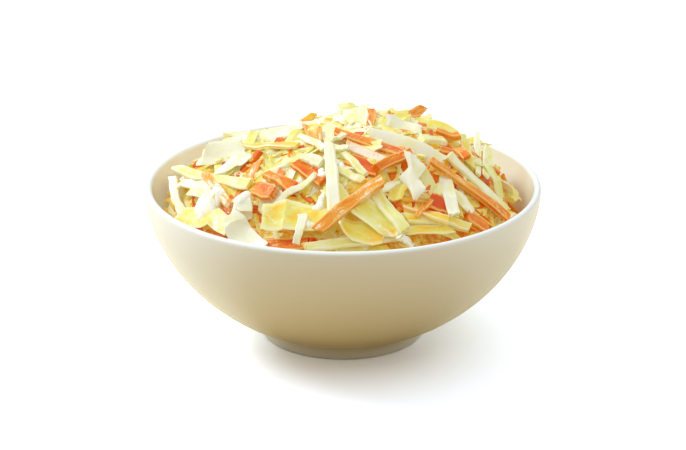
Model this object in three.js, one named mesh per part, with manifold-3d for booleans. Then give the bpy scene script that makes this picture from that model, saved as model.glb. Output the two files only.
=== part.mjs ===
// A round glazed bowl on a foot ring, heaped with coleslaw: cabbage shreds, cabbage leaf and carrot batons.
// Millimetres, +Z up. The origin is the centre of the foot ring's underside, on the bowl's axis.
// The bowl is one turned solid. The coleslaw is one solid too: a domed core that fills the bowl,
// with the shreds that show laid on it one after another, each resting on those below, and fused together.
import * as THREE from "three";
import { mergeVertices } from "three/addons/utils/BufferGeometryUtils.js";
import Module from "manifold-3d";

// ---- Bowl: driving dimensions -------------------------------------------------------------------
const RIM_RADIUS = 75;
const BOWL_HEIGHT = 60;
const RIM_WALL = 2.8; // wall at the rounded lip
const BASE_WALL = 4.2; // wall where the side meets the foot
const FOOT_RADIUS = 31.3; // outer edge of the ring that the bowl stands on
const FOOT_TOP_RADIUS = 32.3; // the foot ring widens a little towards the body
const FOOT_HEIGHT = 4.6;
const FOOT_RING_WIDTH = 3;
const FOOT_RECESS = 2; // depth of the hollow inside the ring
const SIDE_START_SLOPE = THREE.MathUtils.degToRad(24); // the side leaves the foot at this slope
const SIDE_START_REACH = 35.3; // and holds it this far
const SIDE_END_REACH = 13.5; // the side stands upright this far below the lip
const BOWL_SIDES = 64;
const SIDE_STEPS = 9;
const LIP_STEPS = 6;
const FLOOR_STEPS = 3;

// ---- Coleslaw: driving dimensions ---------------------------------------------------------------
const GLAZE_GAP = 0.35; // free gap between the contents and the bowl
const HEAP_PEAK = 86; // height of the heap's dome, shreds included
const HEAP_CEILING = 87.2; // no shred stands higher: one that would is pressed down into the heap
const HEAP_EDGE = 49; // height at which the heap meets the wall
const HEAP_EDGE_RADIUS = 70;
const HEAP_SHIFT = 8; // the peak stands this far towards +X
const HEAP_FULLNESS = 2.5; // 2 is a parabola, more is fuller at the shoulders
// Where the dome is fuller or hollower than that: plan place, width of the lump and its height.
const LUMPS = [
  { x: -46, y: 12, width: 13, rise: 3.7 },
  { x: -22, y: 14, width: 14, rise: -6 },
  { x: 4, y: 16, width: 14, rise: -0.8 },
  { x: 40, y: 10, width: 13, rise: -1.2 },
];
const BACK_FALL = 4.7; // how much lower than round the dome is, BACK_REACH behind the middle
const BACK_REACH = 30;
const CORE_DEPTH = 4.5; // the bare core lies this far below the heap's dome
const CORE_EDGE_SHARE = 0.55; // at the wall that depth is less by this share
const CORE_RINGS = 6; // rings of facets on the core's top; ring k has six times k
const FILLER_COUNT = 46; // shreds that carry the named ones and cover the back and the sides
const FILLER_REACH = 64; // their middles lie within this radius
const PLACES_TRIED = 12; // for each of them, of which the emptiest is taken
const WALL_CLEARANCE = 0.5; // free gap between a shred and the core's own room in the bowl
const PLACING_ATTEMPTS = 8; // a piece that the wall is in the way of is moved and shortened this often
const SHORTENING = 0.96; // each time to this share of its length
const MARK_STEP = 0.7; // the field is raised under a piece at points this far apart
const SAG = 1.2; // a piece sags this far below the higher of its two edges' supports
const SINK = 0.8; // and into what it lies on
const MAX_TILT = 0.9; // the steepest that a piece leans sideways, as a rise over its width
const MAX_ROLL = 14; // degrees by which it is rolled about its length
const END_SLANT = 1.6; // how far its ends are cut askew
const END_WIDTH = 0.8; // the share of its width that an end keeps
const LEAF_WAVE = 0.6; // how far a leaf ripples
const HOLDING_VOLUME = 3; // cubic millimetres that a piece shares with the heap it is fused to
const LOWERING_STEP = 0.4; // a piece that shares less is let down in steps of this much
const LOWERING_STEPS = 12;
const RANDOM_SEED = 33;

// A kind of piece: length and width ranges, thickness, stiffness (1 lies straight, 0 follows what is under
// it), bend along its length in degrees, and its number of steps along and across.
const KINDS = {
  carrot: { length: [20, 36], width: [3.4, 4.8], thickness: 2.0, stiff: 0.9, bend: 8, along: 2, across: 1 },
  rib: { length: [20, 34], width: [3.6, 5.0], thickness: 2.4, stiff: 0.7, bend: 20, along: 3, across: 1 },
  shred: { length: [20, 38], width: [2.6, 3.8], thickness: 1.8, stiff: 0.6, bend: 40, along: 3, across: 1 },
  leaf: { length: [18, 30], width: [7, 12], thickness: 1.6, stiff: 0.5, bend: 12, along: 3, across: 2 },
};
const FILLER_MIX = ["shred", "carrot", "shred", "rib", "shred", "leaf"];

// The pieces that stand out, from the lowest to the topmost: name, kind, the plan places of the two ends
// (x, y, x, y), width, and the heights by which the first and the last end are lifted.
const NAMED_SHREDS = [
  ["back_rim_rib", "rib", -45, 18, -28, 14, 4.4, 2, 2],
  ["back_rim_carrot", "carrot", 4, 40, 27, 36, 4.4, 0, 0],
  ["back_rim_shred", "shred", 23, 17, 34, 24, 3.6, 0, 3],
  ["back_wall_strip", "shred", 46, 2, 47, -15, 4.4, 2, 0],
  ["back_wall_shred_a", "shred", 52, 26, 50, -18, 2.8, 4, 0],
  ["back_wall_shred_b", "shred", 56, 18, 53, -18, 4.2, 3, 0],
  ["right_wall_leaf", "leaf", 54, -11, 59, -16, 5.5, 0, 0],
  ["back_left_leaf", "leaf", -52, -1, -37, -5, 9, 1, 0],
  ["left_mid_leaf", "leaf", -47, -14, -34, -15, 8, 0, 0],
  ["front_carrot", "carrot", -27, -57, -11, -60, 4.8, 0, 0],
  ["left_wall_shred", "shred", -65, 0, -60, -23, 3.6, 1, 0],
  ["left_thin_carrot", "carrot", -51, -15, -42, -36, 3.4, 0, 0],
  ["left_carrot_c", "carrot", -32, -37, -25, -43, 6.4, 0, 0],
  ["left_carrot_b", "carrot", -28, -33, -18, -41, 5, 0, 0],
  ["front_olive_shred", "shred", -14, -63, 15, -58, 3.6, 0, 0],
  ["front_strip", "rib", -13, -65, 20, -58, 3.6, 0, 0],
  ["right_low_carrot", "carrot", 45, -41, 52, -39, 5.6, 0, 0],
  ["right_red_carrot", "carrot", 31, -43, 37, -43, 6.4, 0, 0],
  ["right_low_strip", "rib", 22, -53, 46, -46, 4.4, 0, 0],
  ["front_right_strip", "shred", 20, -57, 39, -52, 4, 0, 0],
  ["right_under_shred", "rib", 22, -48, 37, -51, 4.8, 0, 0],
  ["left_carrot_a", "carrot", -17, -30, -7, -41, 6, 0, 0],
  ["left_long_rib", "rib", -63, -1, -34, -33, 5, 1, 0],
  ["left_hook_shred", "shred", -61, -8, -47, -24, 3.8, 0, 0],
  ["left_low_leaf", "leaf", -61, -25, -40, -48, 8, 0, 0],
  ["left_white_chunk", "rib", -37, -37, -35, -45, 5.6, 0, 0],
  ["far_left_rib", "leaf", -32, 3, -15, 1, 7, 0, 2],
  ["upper_left_shred", "shred", -37, -4, -17, -18, 4.4, 0, 0],
  ["upper_left_leaf", "leaf", -13, 12, 10, 12, 9, 1, 2],
  ["crown_carrot_deep", "carrot", 2, -31, 13, -37, 6.4, 0, 0],
  ["right_back_carrot_a", "carrot", 35, -1, 44, -1, 3.6, 0, 1],
  ["right_back_carrot_b", "carrot", 43, -8, 46, -15, 4, 0, 0],
  ["right_back_shred", "rib", 29, -13, 38, -6, 4.4, 0, 0],
  ["crown_carrot_tip", "carrot", 18, 1, 31, 20, 4, 0, 3],
  ["crown_carrot_b", "carrot", 14, 3, 18, 3, 3.6, 0, 0],
  ["crown_carrot_long", "carrot", -3, -17, 24, -28, 5, 0, 0],
  ["coated_carrot", "carrot", 1, -24, 15, -33, 3.8, 0, 0],
  ["crown_shred", "shred", 7, 12, 10, -14, 3.4, 3, 0],
  ["twin_shred_a", "shred", 0, -29, 8, -40, 2.8, 0, 0],
  ["narrow_shred", "shred", -24, -45, -10, -40, 2.8, 0, 0],
  ["mid_carrot", "carrot", 12, -38, 25, -28, 3.6, 0, 0],
  ["right_leaf_a", "leaf", 18, -5, 29, -7, 9.5, 0, 1],
  ["right_leaf_b", "leaf", 10, -18, 36, -23, 6.6, 0, 0],
  ["star_leaf", "leaf", 25, -31, 26, -45, 7.5, 0, 0],
  ["hook_leaf_a", "leaf", 37, -28, 40, -48, 5, 0, 0],
  ["hook_leaf_b", "leaf", 42, -33, 47, -39, 5, 0, 0],
  ["right_long_shred", "rib", 39, -19, 60, -24, 4.6, 0, 0],
  ["right_long_carrot", "carrot", 32, -28, 61, -28, 4.8, 0, 0],
  ["front_leaf", "leaf", -38, -43, -36, -50, 7, 0, 0],
  ["big_left_leaf", "leaf", -29, -51, -5, -52, 11, 0, 0],
  ["under_rib_leaf", "leaf", -6, -43, 2, -51, 8, 0, 0],
  ["tall_rib", "rib", -5, -27, -3, -55, 4.6, 0, 0],
  ["low_mid_leaf", "leaf", -1, -59, 15, -60, 9, 0, 0],
  ["big_mid_leaf", "leaf", 2, -50, 20, -59, 10, 0, 0],
  ["mid_edge_shred", "rib", 11, -45, 22, -60, 5.2, 0, 0],
  ["front_baton", "carrot", -9, -63, 14, -44, 4.8, 0, 0],
];

// ---- Helpers ------------------------------------------------------------------------------------
const wasm = await Module();
wasm.setup();

// A closed geometry as a manifold-3d solid, with its shared vertices merged.
function solidFrom(geometry) {
  const bare = geometry.clone();
  bare.deleteAttribute("normal");
  bare.deleteAttribute("uv");
  const merged = mergeVertices(bare, 1e-4);
  return new wasm.Manifold(
    new wasm.Mesh({
      numProp: 3,
      vertProperties: new Float32Array(merged.attributes.position.array),
      triVerts: new Uint32Array(merged.index.array),
    }),
  );
}

// A manifold-3d solid as a geometry, with flat faces.
function geometryFrom(solid) {
  const mesh = solid.getMesh();
  const geometry = new THREE.BufferGeometry();
  geometry.setAttribute("position", new THREE.BufferAttribute(mesh.vertProperties, 3));
  geometry.setIndex(new THREE.BufferAttribute(mesh.triVerts, 1));
  const flat = geometry.toNonIndexed();
  flat.computeVertexNormals();
  return flat;
}

// A profile of (radius, height) points turned about +Z.
function turned(profile, sides) {
  return new THREE.LatheGeometry(profile, sides).rotateX(Math.PI / 2);
}

// The same random draws at each run (mulberry32).
function randomFrom(seed) {
  let state = seed;
  return () => {
    state = (state + 0x6d2b79f5) | 0;
    let t = Math.imul(state ^ (state >>> 15), 1 | state);
    t = (t + Math.imul(t ^ (t >>> 7), 61 | t)) ^ t;
    return ((t ^ (t >>> 14)) >>> 0) / 4294967296;
  };
}

// ---- Bowl ---------------------------------------------------------------------------------------
// The side's outer curve, from the top of the foot to the start of the lip.
const sideCurve = new THREE.CubicBezierCurve(
  new THREE.Vector2(FOOT_TOP_RADIUS, FOOT_HEIGHT),
  new THREE.Vector2(
    FOOT_TOP_RADIUS + SIDE_START_REACH * Math.cos(SIDE_START_SLOPE),
    FOOT_HEIGHT + SIDE_START_REACH * Math.sin(SIDE_START_SLOPE),
  ),
  new THREE.Vector2(RIM_RADIUS, BOWL_HEIGHT - RIM_WALL / 2 - SIDE_END_REACH),
  new THREE.Vector2(RIM_RADIUS, BOWL_HEIGHT - RIM_WALL / 2),
);

// The inner side at share t of the outer one: moved inwards by the wall, which thins towards the lip.
function innerSidePoint(t, gap = 0) {
  const point = sideCurve.getPoint(t);
  const tangent = sideCurve.getTangent(t);
  const wall = THREE.MathUtils.lerp(BASE_WALL, RIM_WALL, t) + gap;
  return new THREE.Vector2(point.x - tangent.y * wall, point.y + tangent.x * wall);
}

// The inside from the lip down to the axis. The floor flattens as the fourth power of the radius.
function innerProfile(gap, sideSteps) {
  const points = [];
  for (let i = 0; i <= sideSteps; i++) {
    points.push(innerSidePoint(1 - i / sideSteps, gap));
  }
  const start = points.at(-1);
  const floorDepth = (Math.tan(SIDE_START_SLOPE) * start.x) / 4;
  for (let i = 1; i <= FLOOR_STEPS; i++) {
    const share = 1 - i / FLOOR_STEPS;
    points.push(new THREE.Vector2(start.x * share, start.y - floorDepth * (1 - share ** 4)));
  }
  return points;
}

function bowlSolid() {
  const profile = [
    new THREE.Vector2(0, FOOT_RECESS),
    new THREE.Vector2(FOOT_RADIUS - FOOT_RING_WIDTH - 0.6, FOOT_RECESS),
    new THREE.Vector2(FOOT_RADIUS - FOOT_RING_WIDTH, 0),
    new THREE.Vector2(FOOT_RADIUS - 0.4, 0),
    new THREE.Vector2(FOOT_RADIUS, 0.4),
  ];
  profile.push(...sideCurve.getPoints(SIDE_STEPS));
  const lipCentre = RIM_RADIUS - RIM_WALL / 2;
  for (let i = 1; i < LIP_STEPS; i++) {
    const angle = (Math.PI * i) / LIP_STEPS;
    profile.push(
      new THREE.Vector2(
        lipCentre + (RIM_WALL / 2) * Math.cos(angle),
        BOWL_HEIGHT - RIM_WALL / 2 + (RIM_WALL / 2) * Math.sin(angle),
      ),
    );
  }
  profile.push(...innerProfile(0, SIDE_STEPS));
  return turned(profile, BOWL_SIDES);
}

// The bowl's inner radius at a height, less a gap, read off the inner side.
const innerTable = Array.from({ length: 81 }, (_, i) => innerSidePoint(i / 80, GLAZE_GAP));
function innerRadiusAt(z) {
  if (z >= innerTable.at(-1).y) return innerTable.at(-1).x;
  const k = innerTable.findIndex((p) => p.y > z);
  if (k <= 0) return innerTable[0].x;
  const [low, high] = [innerTable[k - 1], innerTable[k]];
  return THREE.MathUtils.lerp(low.x, high.x, (z - low.y) / (high.y - low.y));
}

// ---- Coleslaw: the core and the height of the heap so far ---------------------------------------
// The heap's dome: highest near the middle, a little towards +X, and falling to the wall all round.
const MOST_SHARE = 1.05; // beyond this share of the edge radius it falls no further
function domeHeight(x, y) {
  const inward = 1 - Math.min(Math.hypot(x, y) / HEAP_EDGE_RADIUS, 1);
  const share = Math.hypot(x - HEAP_SHIFT * inward, y) / HEAP_EDGE_RADIUS;
  const round = HEAP_PEAK - (HEAP_PEAK - HEAP_EDGE) * Math.min(share, MOST_SHARE) ** HEAP_FULLNESS;
  let height = round - BACK_FALL * THREE.MathUtils.clamp(y / BACK_REACH, 0, 2) ** 2;
  for (const lump of LUMPS) {
    const square = (x - lump.x) ** 2 + (y - lump.y) ** 2;
    height += lump.rise * Math.exp(-square / (2 * lump.width ** 2));
  }
  return height;
}

// Low bumps, so that neither the core nor the heap is a smooth dome.
function unevenness(x, y) {
  return 1.1 * Math.sin(x / 9 + 0.6) * Math.cos(y / 11 - 0.4) + 0.7 * Math.sin((x + 2 * y) / 13);
}

function coreHeight(x, y) {
  const shallow = 1 - CORE_EDGE_SHARE * Math.min(Math.hypot(x, y) / HEAP_EDGE_RADIUS, 1) ** 3;
  return domeHeight(x, y) - CORE_DEPTH * shallow + unevenness(x, y);
}

// The core's side and underside follow the bowl's inside. Its top is a disc of rings round the middle.
function coreSolid() {
  const topHeight = HEAP_EDGE - CORE_DEPTH / 2;
  const topRadius = innerRadiusAt(topHeight);
  const side = innerProfile(GLAZE_GAP, 5).filter((p) => p.y < topHeight - 3);
  const corners = [new THREE.Vector3(0, 0, coreHeight(0, 0))];
  const addRing = (radius, count, heightAt) => {
    const first = corners.length;
    for (let i = 0; i < count; i++) {
      const angle = (2 * Math.PI * i) / count;
      const [x, y] = [radius * Math.cos(angle), radius * Math.sin(angle)];
      corners.push(new THREE.Vector3(x, y, heightAt(x, y)));
    }
    return first;
  };
  const triangles = [];
  let inner = 0;
  for (let ring = 1; ring <= CORE_RINGS; ring++) {
    const edge = ring === CORE_RINGS;
    const outer = addRing((topRadius * ring) / CORE_RINGS, 6 * ring, edge ? () => topHeight : coreHeight);
    for (let sector = 0; sector < 6; sector++) {
      for (let j = 0; j < ring; j++) {
        const here = outer + sector * ring + j;
        const next = outer + ((sector * ring + j + 1) % (6 * ring));
        const innerCount = Math.max(6 * (ring - 1), 1);
        const innerHere = inner + ((sector * (ring - 1) + j) % innerCount);
        triangles.push(here, next, innerHere);
        if (j === ring - 1) continue;
        const innerNext = inner + ((sector * (ring - 1) + j + 1) % innerCount);
        triangles.push(next, innerNext, innerHere);
      }
    }
    inner = outer;
  }
  const sides = 6 * CORE_RINGS;
  for (const { x: radius, y: height } of side) {
    if (radius < 1e-6) continue;
    const lower = addRing(radius, sides, () => height);
    for (let i = 0; i < sides; i++) {
      const j = (i + 1) % sides;
      triangles.push(inner + i, lower + i, lower + j, inner + i, lower + j, inner + j);
    }
    inner = lower;
  }
  const bottom = corners.length;
  corners.push(new THREE.Vector3(0, 0, side.at(-1).y));
  for (let i = 0; i < sides; i++) triangles.push(inner + i, bottom, inner + ((i + 1) % sides));
  const geometry = new THREE.BufferGeometry().setFromPoints(corners);
  geometry.setIndex(triangles);
  return solidFrom(geometry);
}

// The height of the heap so far over a grid of plan cells. It starts as the core's.
class HeightField {
  constructor(cell = 1, reach = 76) {
    this.cell = cell;
    this.reach = reach;
    this.side = Math.ceil((2 * reach) / cell) + 1;
    this.heights = new Float32Array(this.side * this.side);
    for (let row = 0; row < this.side; row++) {
      for (let column = 0; column < this.side; column++) {
        const [x, y] = [column * cell - reach, row * cell - reach];
        this.heights[row * this.side + column] = coreHeight(x, y);
      }
    }
  }

  index(x, y) {
    const clamp = (v) => THREE.MathUtils.clamp(Math.round((v + this.reach) / this.cell), 0, this.side - 1);
    return clamp(y) * this.side + clamp(x);
  }

  at(x, y) {
    return this.heights[this.index(x, y)];
  }

  raise(x, y, z) {
    const i = this.index(x, y);
    this.heights[i] = Math.max(this.heights[i], z);
  }
}

// ---- Coleslaw: laying one shred -----------------------------------------------------------------
// How a straight stick lies on uneven supports: along their mean slope, let down onto the highest of them.
function stickHeights(supports) {
  const middle = (supports.length - 1) / 2;
  const mean = supports.reduce((sum, z) => sum + z, 0) / supports.length;
  const spread = supports.reduce((sum, _, i) => sum + (i - middle) ** 2, 0);
  const slope = supports.reduce((sum, z, i) => sum + (i - middle) * (z - mean), 0) / spread;
  const line = supports.map((_, i) => mean + slope * (i - middle));
  const highest = Math.max(...supports.map((z, i) => z - line[i]));
  return line.map((z) => z + highest);
}

function smoothed(values) {
  return values.map((v, i) => {
    const before = values[Math.max(i - 1, 0)];
    const after = values[Math.min(i + 1, values.length - 1)];
    return Math.max(v, (before + 2 * v + after) / 4);
  });
}

// The line of a shred's middle over the heap: straight or following what is under it, as stiff as it is.
function restingLine(field, piece) {
  const { x, y, heading, length, width, thickness, stiff, bend, along, lifts, sink } = piece;
  const points = [];
  for (let i = 0; i <= along; i++) {
    const u = (i / along - 0.5) * length;
    const turn = (bend * u) / length / 2;
    points.push({
      u,
      x: x + u * Math.cos(heading + turn),
      y: y + u * Math.sin(heading + turn),
      side: heading + 2 * turn + Math.PI / 2,
    });
  }
  const heightBeside = (p, v) => field.at(p.x + v * Math.cos(p.side), p.y + v * Math.sin(p.side));
  const support = points.map((p) => {
    const [left, middle, right] = [width / 2, 0, -width / 2].map((v) => heightBeside(p, v));
    p.tilt = THREE.MathUtils.clamp((left - right) / width, -MAX_TILT, MAX_TILT);
    return Math.max((left + right) / 2, middle, Math.max(left, right) - SAG);
  });
  const straight = stickHeights(support);
  const limp = smoothed(smoothed(support));
  points.forEach((p, i) => {
    const resting = THREE.MathUtils.lerp(limp[i], straight[i], stiff);
    p.z = resting + thickness / 2 - sink + THREE.MathUtils.lerp(lifts[0], lifts[1], i / along);
  });
  return points;
}

// The shred's corners at one step: a flat section turned to lie on the slope beside the line.
function sectionFrame(points, i, roll) {
  const before = points[Math.max(i - 1, 0)];
  const after = points[Math.min(i + 1, points.length - 1)];
  const ahead = new THREE.Vector3(after.x - before.x, after.y - before.y, after.z - before.z).normalize();
  const p = points[i];
  const side = new THREE.Vector3(Math.cos(p.side), Math.sin(p.side), p.tilt);
  side.addScaledVector(ahead, -side.dot(ahead)).normalize();
  side.applyAxisAngle(ahead, roll);
  const up = new THREE.Vector3().crossVectors(ahead, side);
  return { middle: new THREE.Vector3(p.x, p.y, p.z), ahead, side, up };
}

// The corners of a strip: at each step both faces, each with its columns across, waved where it is a leaf.
function stripCorners(points, piece) {
  const { width, thickness, roll, cut, wave, across } = piece;
  const corners = [];
  for (let i = 0; i < points.length; i++) {
    const { middle, ahead, side, up } = sectionFrame(points, i, roll);
    const atEnd = i === 0 || i === points.length - 1;
    for (const face of [1, -1]) {
      for (let j = 0; j <= across; j++) {
        const v = (j / across - 0.5) * width;
        const slant = atEnd ? (v / width) * cut : 0;
        const ripple = wave * Math.sin(i * 1.9 + j * 1.3 + piece.phase);
        corners.push(
          middle
            .clone()
            .addScaledVector(side, v * (atEnd ? END_WIDTH : 1))
            .addScaledVector(ahead, slant)
            .addScaledVector(up, (face * thickness) / 2 + ripple),
        );
      }
    }
  }
  return corners;
}

// How far the corners reach past the room that the bowl's wall leaves.
function overreach(corners) {
  const excess = corners.map((c) => Math.hypot(c.x, c.y) - innerRadiusAt(c.z - WALL_CLEARANCE));
  return Math.max(...excess) + WALL_CLEARANCE;
}

// A closed strip through its corners. Both faces are split alike.
function stripSolid(corners, across) {
  const columns = across + 1;
  const last = corners.length / (2 * columns) - 1;
  const at = (i, face, j) => i * 2 * columns + face * columns + j;
  const triangles = [];
  const quad = (a, b, c, d) => triangles.push(a, b, c, a, c, d);
  for (let i = 0; i < last; i++) {
    for (let j = 0; j < across; j++) {
      quad(at(i, 0, j), at(i + 1, 0, j), at(i + 1, 0, j + 1), at(i, 0, j + 1));
      quad(at(i, 1, j + 1), at(i + 1, 1, j + 1), at(i + 1, 1, j), at(i, 1, j));
    }
    quad(at(i, 1, 0), at(i + 1, 1, 0), at(i + 1, 0, 0), at(i, 0, 0));
    quad(at(i, 0, across), at(i + 1, 0, across), at(i + 1, 1, across), at(i, 1, across));
  }
  for (let j = 0; j < across; j++) {
    quad(at(0, 0, j), at(0, 0, j + 1), at(0, 1, j + 1), at(0, 1, j));
    quad(at(last, 1, j), at(last, 1, j + 1), at(last, 0, j + 1), at(last, 0, j));
  }
  const geometry = new THREE.BufferGeometry().setFromPoints(corners);
  geometry.setIndex(triangles);
  return solidFrom(geometry);
}

// Lays a piece on the heap, moving it inwards where the wall is in its way, and raises the field under it.
function layShred(field, piece) {
  let placed = piece;
  for (let attempt = 0; attempt < PLACING_ATTEMPTS; attempt++) {
    const points = restingLine(field, placed);
    const corners = stripCorners(points, placed);
    const press = Math.max(...corners.map((c) => c.z)) - HEAP_CEILING;
    if (press > 0) {
      for (const p of [...points, ...corners]) p.z -= press;
    }
    const excess = overreach(corners);
    if (excess <= 0) {
      markField(field, points, placed);
      return stripSolid(corners, placed.across);
    }
    const radius = Math.hypot(placed.x, placed.y);
    const inward = 1 - Math.min(excess + 0.3, radius) / radius;
    placed = { ...placed, x: placed.x * inward, y: placed.y * inward, length: placed.length * SHORTENING };
  }
  return null;
}

// Fuses a piece to the heap. One that only just touches is let down until it holds.
function fused(heap, solid) {
  let piece = solid;
  for (let step = 0; step < LOWERING_STEPS; step++) {
    if (heap.intersect(piece).volume() > HOLDING_VOLUME) break;
    piece = piece.translate([0, 0, -LOWERING_STEP]);
  }
  return heap.add(piece);
}

// Raises the field to the piece's upper face.
function markField(field, points, piece) {
  const fine = 6; // points along each step
  for (let i = 0; i < points.length - 1; i++) {
    for (let k = 0; k <= fine; k++) {
      const mix = (key) => THREE.MathUtils.lerp(points[i][key], points[i + 1][key], k / fine);
      for (let v = -piece.width / 2; v <= piece.width / 2; v += MARK_STEP) {
        const side = mix("side");
        const height = mix("z") + piece.thickness / 2 + v * mix("tilt");
        field.raise(mix("x") + v * Math.cos(side), mix("y") + v * Math.sin(side), height);
      }
    }
  }
}

// ---- Coleslaw: the whole heap -------------------------------------------------------------------
function pieceOf(kindName, plan, random) {
  const kind = KINDS[kindName];
  const within = ([low, high]) => low + (high - low) * random();
  return {
    ...kind,
    wave: kindName === "leaf" ? LEAF_WAVE : 0,
    phase: random() * 6,
    length: within(kind.length),
    width: within(kind.width),
    bend: THREE.MathUtils.degToRad(kind.bend * (2 * random() - 1)),
    roll: THREE.MathUtils.degToRad(MAX_ROLL * (2 * random() - 1)),
    cut: within([-END_SLANT, END_SLANT]),
    lifts: [0, 0],
    sink: SINK,
    ...plan,
  };
}

// The place for one more shred: of a few drawn at random, the one furthest from the shreds there are.
function emptiestPlace(taken, random) {
  const candidates = Array.from({ length: PLACES_TRIED }, () => {
    const radius = FILLER_REACH * Math.sqrt(random());
    const angle = 2 * Math.PI * random();
    return { x: radius * Math.cos(angle), y: radius * Math.sin(angle) };
  });
  const room = ({ x, y }) => Math.min(...taken.map((other) => Math.hypot(other.x - x, other.y - y)));
  return candidates.reduce((best, place) => (room(place) > room(best) ? place : best));
}

function coleslawSolid() {
  const random = randomFrom(RANDOM_SEED);
  const named = NAMED_SHREDS.map(([, kind, x0, y0, x1, y1, width, ...lifts]) => {
    const plan = {
      x: (x0 + x1) / 2,
      y: (y0 + y1) / 2,
      heading: Math.atan2(y1 - y0, x1 - x0),
      length: Math.hypot(x1 - x0, y1 - y0),
    };
    return pieceOf(kind, { ...plan, width, lifts }, random);
  });
  const fillers = [];
  for (let k = 0; k < FILLER_COUNT; k++) {
    const place = emptiestPlace([...named, ...fillers], random);
    const heading = Math.PI * random();
    fillers.push(pieceOf(FILLER_MIX[k % FILLER_MIX.length], { ...place, heading }, random));
  }
  const field = new HeightField();
  const pieces = [...fillers, ...named].map((piece) => layShred(field, piece));
  const heap = pieces.filter(Boolean).reduce(fused, coreSolid());
  // The one body that holds the core: a scrap that touches nothing and a sealed hollow are left out.
  const bodies = heap.decompose().sort((a, b) => b.volume() - a.volume());
  return geometryFrom(bodies[0]);
}

// ---- Materials and scene ------------------------------------------------------------------------
const glazedPorcelain = new THREE.MeshStandardMaterial({ color: "#f1ece0", roughness: 0.18, metalness: 0 });
const dressedCabbage = new THREE.MeshStandardMaterial({ color: "#e9dfa6", roughness: 0.38, metalness: 0 });

const bowl = new THREE.Mesh(bowlSolid(), glazedPorcelain);
bowl.name = "bowl";

const coleslaw = new THREE.Mesh(coleslawSolid(), dressedCabbage);
coleslaw.name = "coleslaw";

const servedColeslaw = new THREE.Group();
servedColeslaw.add(bowl, coleslaw);

export default servedColeslaw;
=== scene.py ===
"""Coleslaw heaped in a white porcelain bowl.

The file is laid out as an add-on: settings, one operator for each piece or group of like pieces, one panel.
Lengths inside the shape functions are millimetres, and new_mesh turns them into metres.
"""

import functools
import math
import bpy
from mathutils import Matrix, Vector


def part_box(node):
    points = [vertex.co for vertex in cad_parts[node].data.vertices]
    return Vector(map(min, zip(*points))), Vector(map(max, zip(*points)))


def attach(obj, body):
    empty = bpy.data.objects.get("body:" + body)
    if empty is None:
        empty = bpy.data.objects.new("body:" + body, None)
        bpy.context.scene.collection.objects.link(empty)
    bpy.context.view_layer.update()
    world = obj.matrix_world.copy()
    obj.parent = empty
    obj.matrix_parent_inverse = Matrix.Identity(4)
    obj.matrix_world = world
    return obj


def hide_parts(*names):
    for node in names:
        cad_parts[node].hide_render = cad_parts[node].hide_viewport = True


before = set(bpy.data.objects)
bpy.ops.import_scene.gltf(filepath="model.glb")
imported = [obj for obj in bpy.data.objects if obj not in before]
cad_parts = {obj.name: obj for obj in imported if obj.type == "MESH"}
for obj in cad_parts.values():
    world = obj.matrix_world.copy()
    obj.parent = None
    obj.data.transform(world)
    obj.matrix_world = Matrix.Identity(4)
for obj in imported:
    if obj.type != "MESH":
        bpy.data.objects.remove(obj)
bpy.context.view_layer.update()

from types import SimpleNamespace

import bpy
import numpy as np
from bpy.props import FloatProperty, FloatVectorProperty, IntProperty, PointerProperty
from mathutils import Vector

bl_info = {
    "name": "Coleslaw in a porcelain bowl",
    "version": (1, 0, 0),
    "blender": (4, 5, 0),
    "location": "View3D > Sidebar > Coleslaw",
    "description": "Builds a porcelain bowl heaped with shredded cabbage and carrot in dressing",
    "category": "Object",
}

MM = 0.001
BOWL_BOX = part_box("bowl")

# How each kind of piece is cut, in millimetres: ranges of length, width and thickness. stiff is 1 where it
# lies straight and 0 where it follows what is under it, bend is in degrees, chamfer is how far its long
# edges are rounded off, along its number of steps, and wander how unevenly it is cut.
KINDS = {
    "carrot": dict(length=(12, 28), width=(3.4, 5.0), thickness=(1.8, 2.4),
        stiff=0.85, bend=8, chamfer=0.25, along=8, wander=0.07),
    "fine_carrot": dict(length=(7, 16), width=(1.6, 2.6), thickness=(1.1, 1.6),
        stiff=0.5, bend=30, chamfer=0.25, along=7, wander=0.14),
    "rib": dict(length=(10, 26), width=(3.4, 5.4), thickness=(2.0, 2.8),
        stiff=0.7, bend=18, chamfer=0.45, along=9, wander=0.13),
    "shred": dict(length=(13, 32), width=(2.6, 4.6), thickness=(1.1, 1.8),
        stiff=0.45, bend=34, chamfer=0.3, along=10, wander=0.17),
    "thread": dict(length=(10, 26), width=(1.4, 2.6), thickness=(0.9, 1.4),
        stiff=0.4, bend=44, chamfer=0.25, along=9, wander=0.2),
    "leaf": dict(length=(9, 22), width=(6, 12), thickness=(0.8, 1.2),
        stiff=0.4, bend=10, chamfer=0.0, along=8, wander=0.35),
    "star": dict(length=(9, 16), width=(7, 11), thickness=(0.8, 1.2),
        stiff=0.6, bend=10, chamfer=0.0, along=12, wander=0.85),
    "bit": dict(length=(4, 9), width=(2.2, 4.4), thickness=(1.0, 2.2),
        stiff=0.9, bend=10, chamfer=0.3, along=4, wander=0.2),
}
SHEETS = ("leaf", "star")
FILLER_MIX = ("shred", "carrot", "rib", "leaf", "shred", "bit", "fine_carrot", "leaf", "rib", "bit")
FILLER_MIX += ("carrot", "shred", "leaf")
GAP_MIX = ("shred", "fine_carrot", "leaf", "shred", "thread", "carrot", "shred", "leaf", "thread", "rib")

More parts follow.
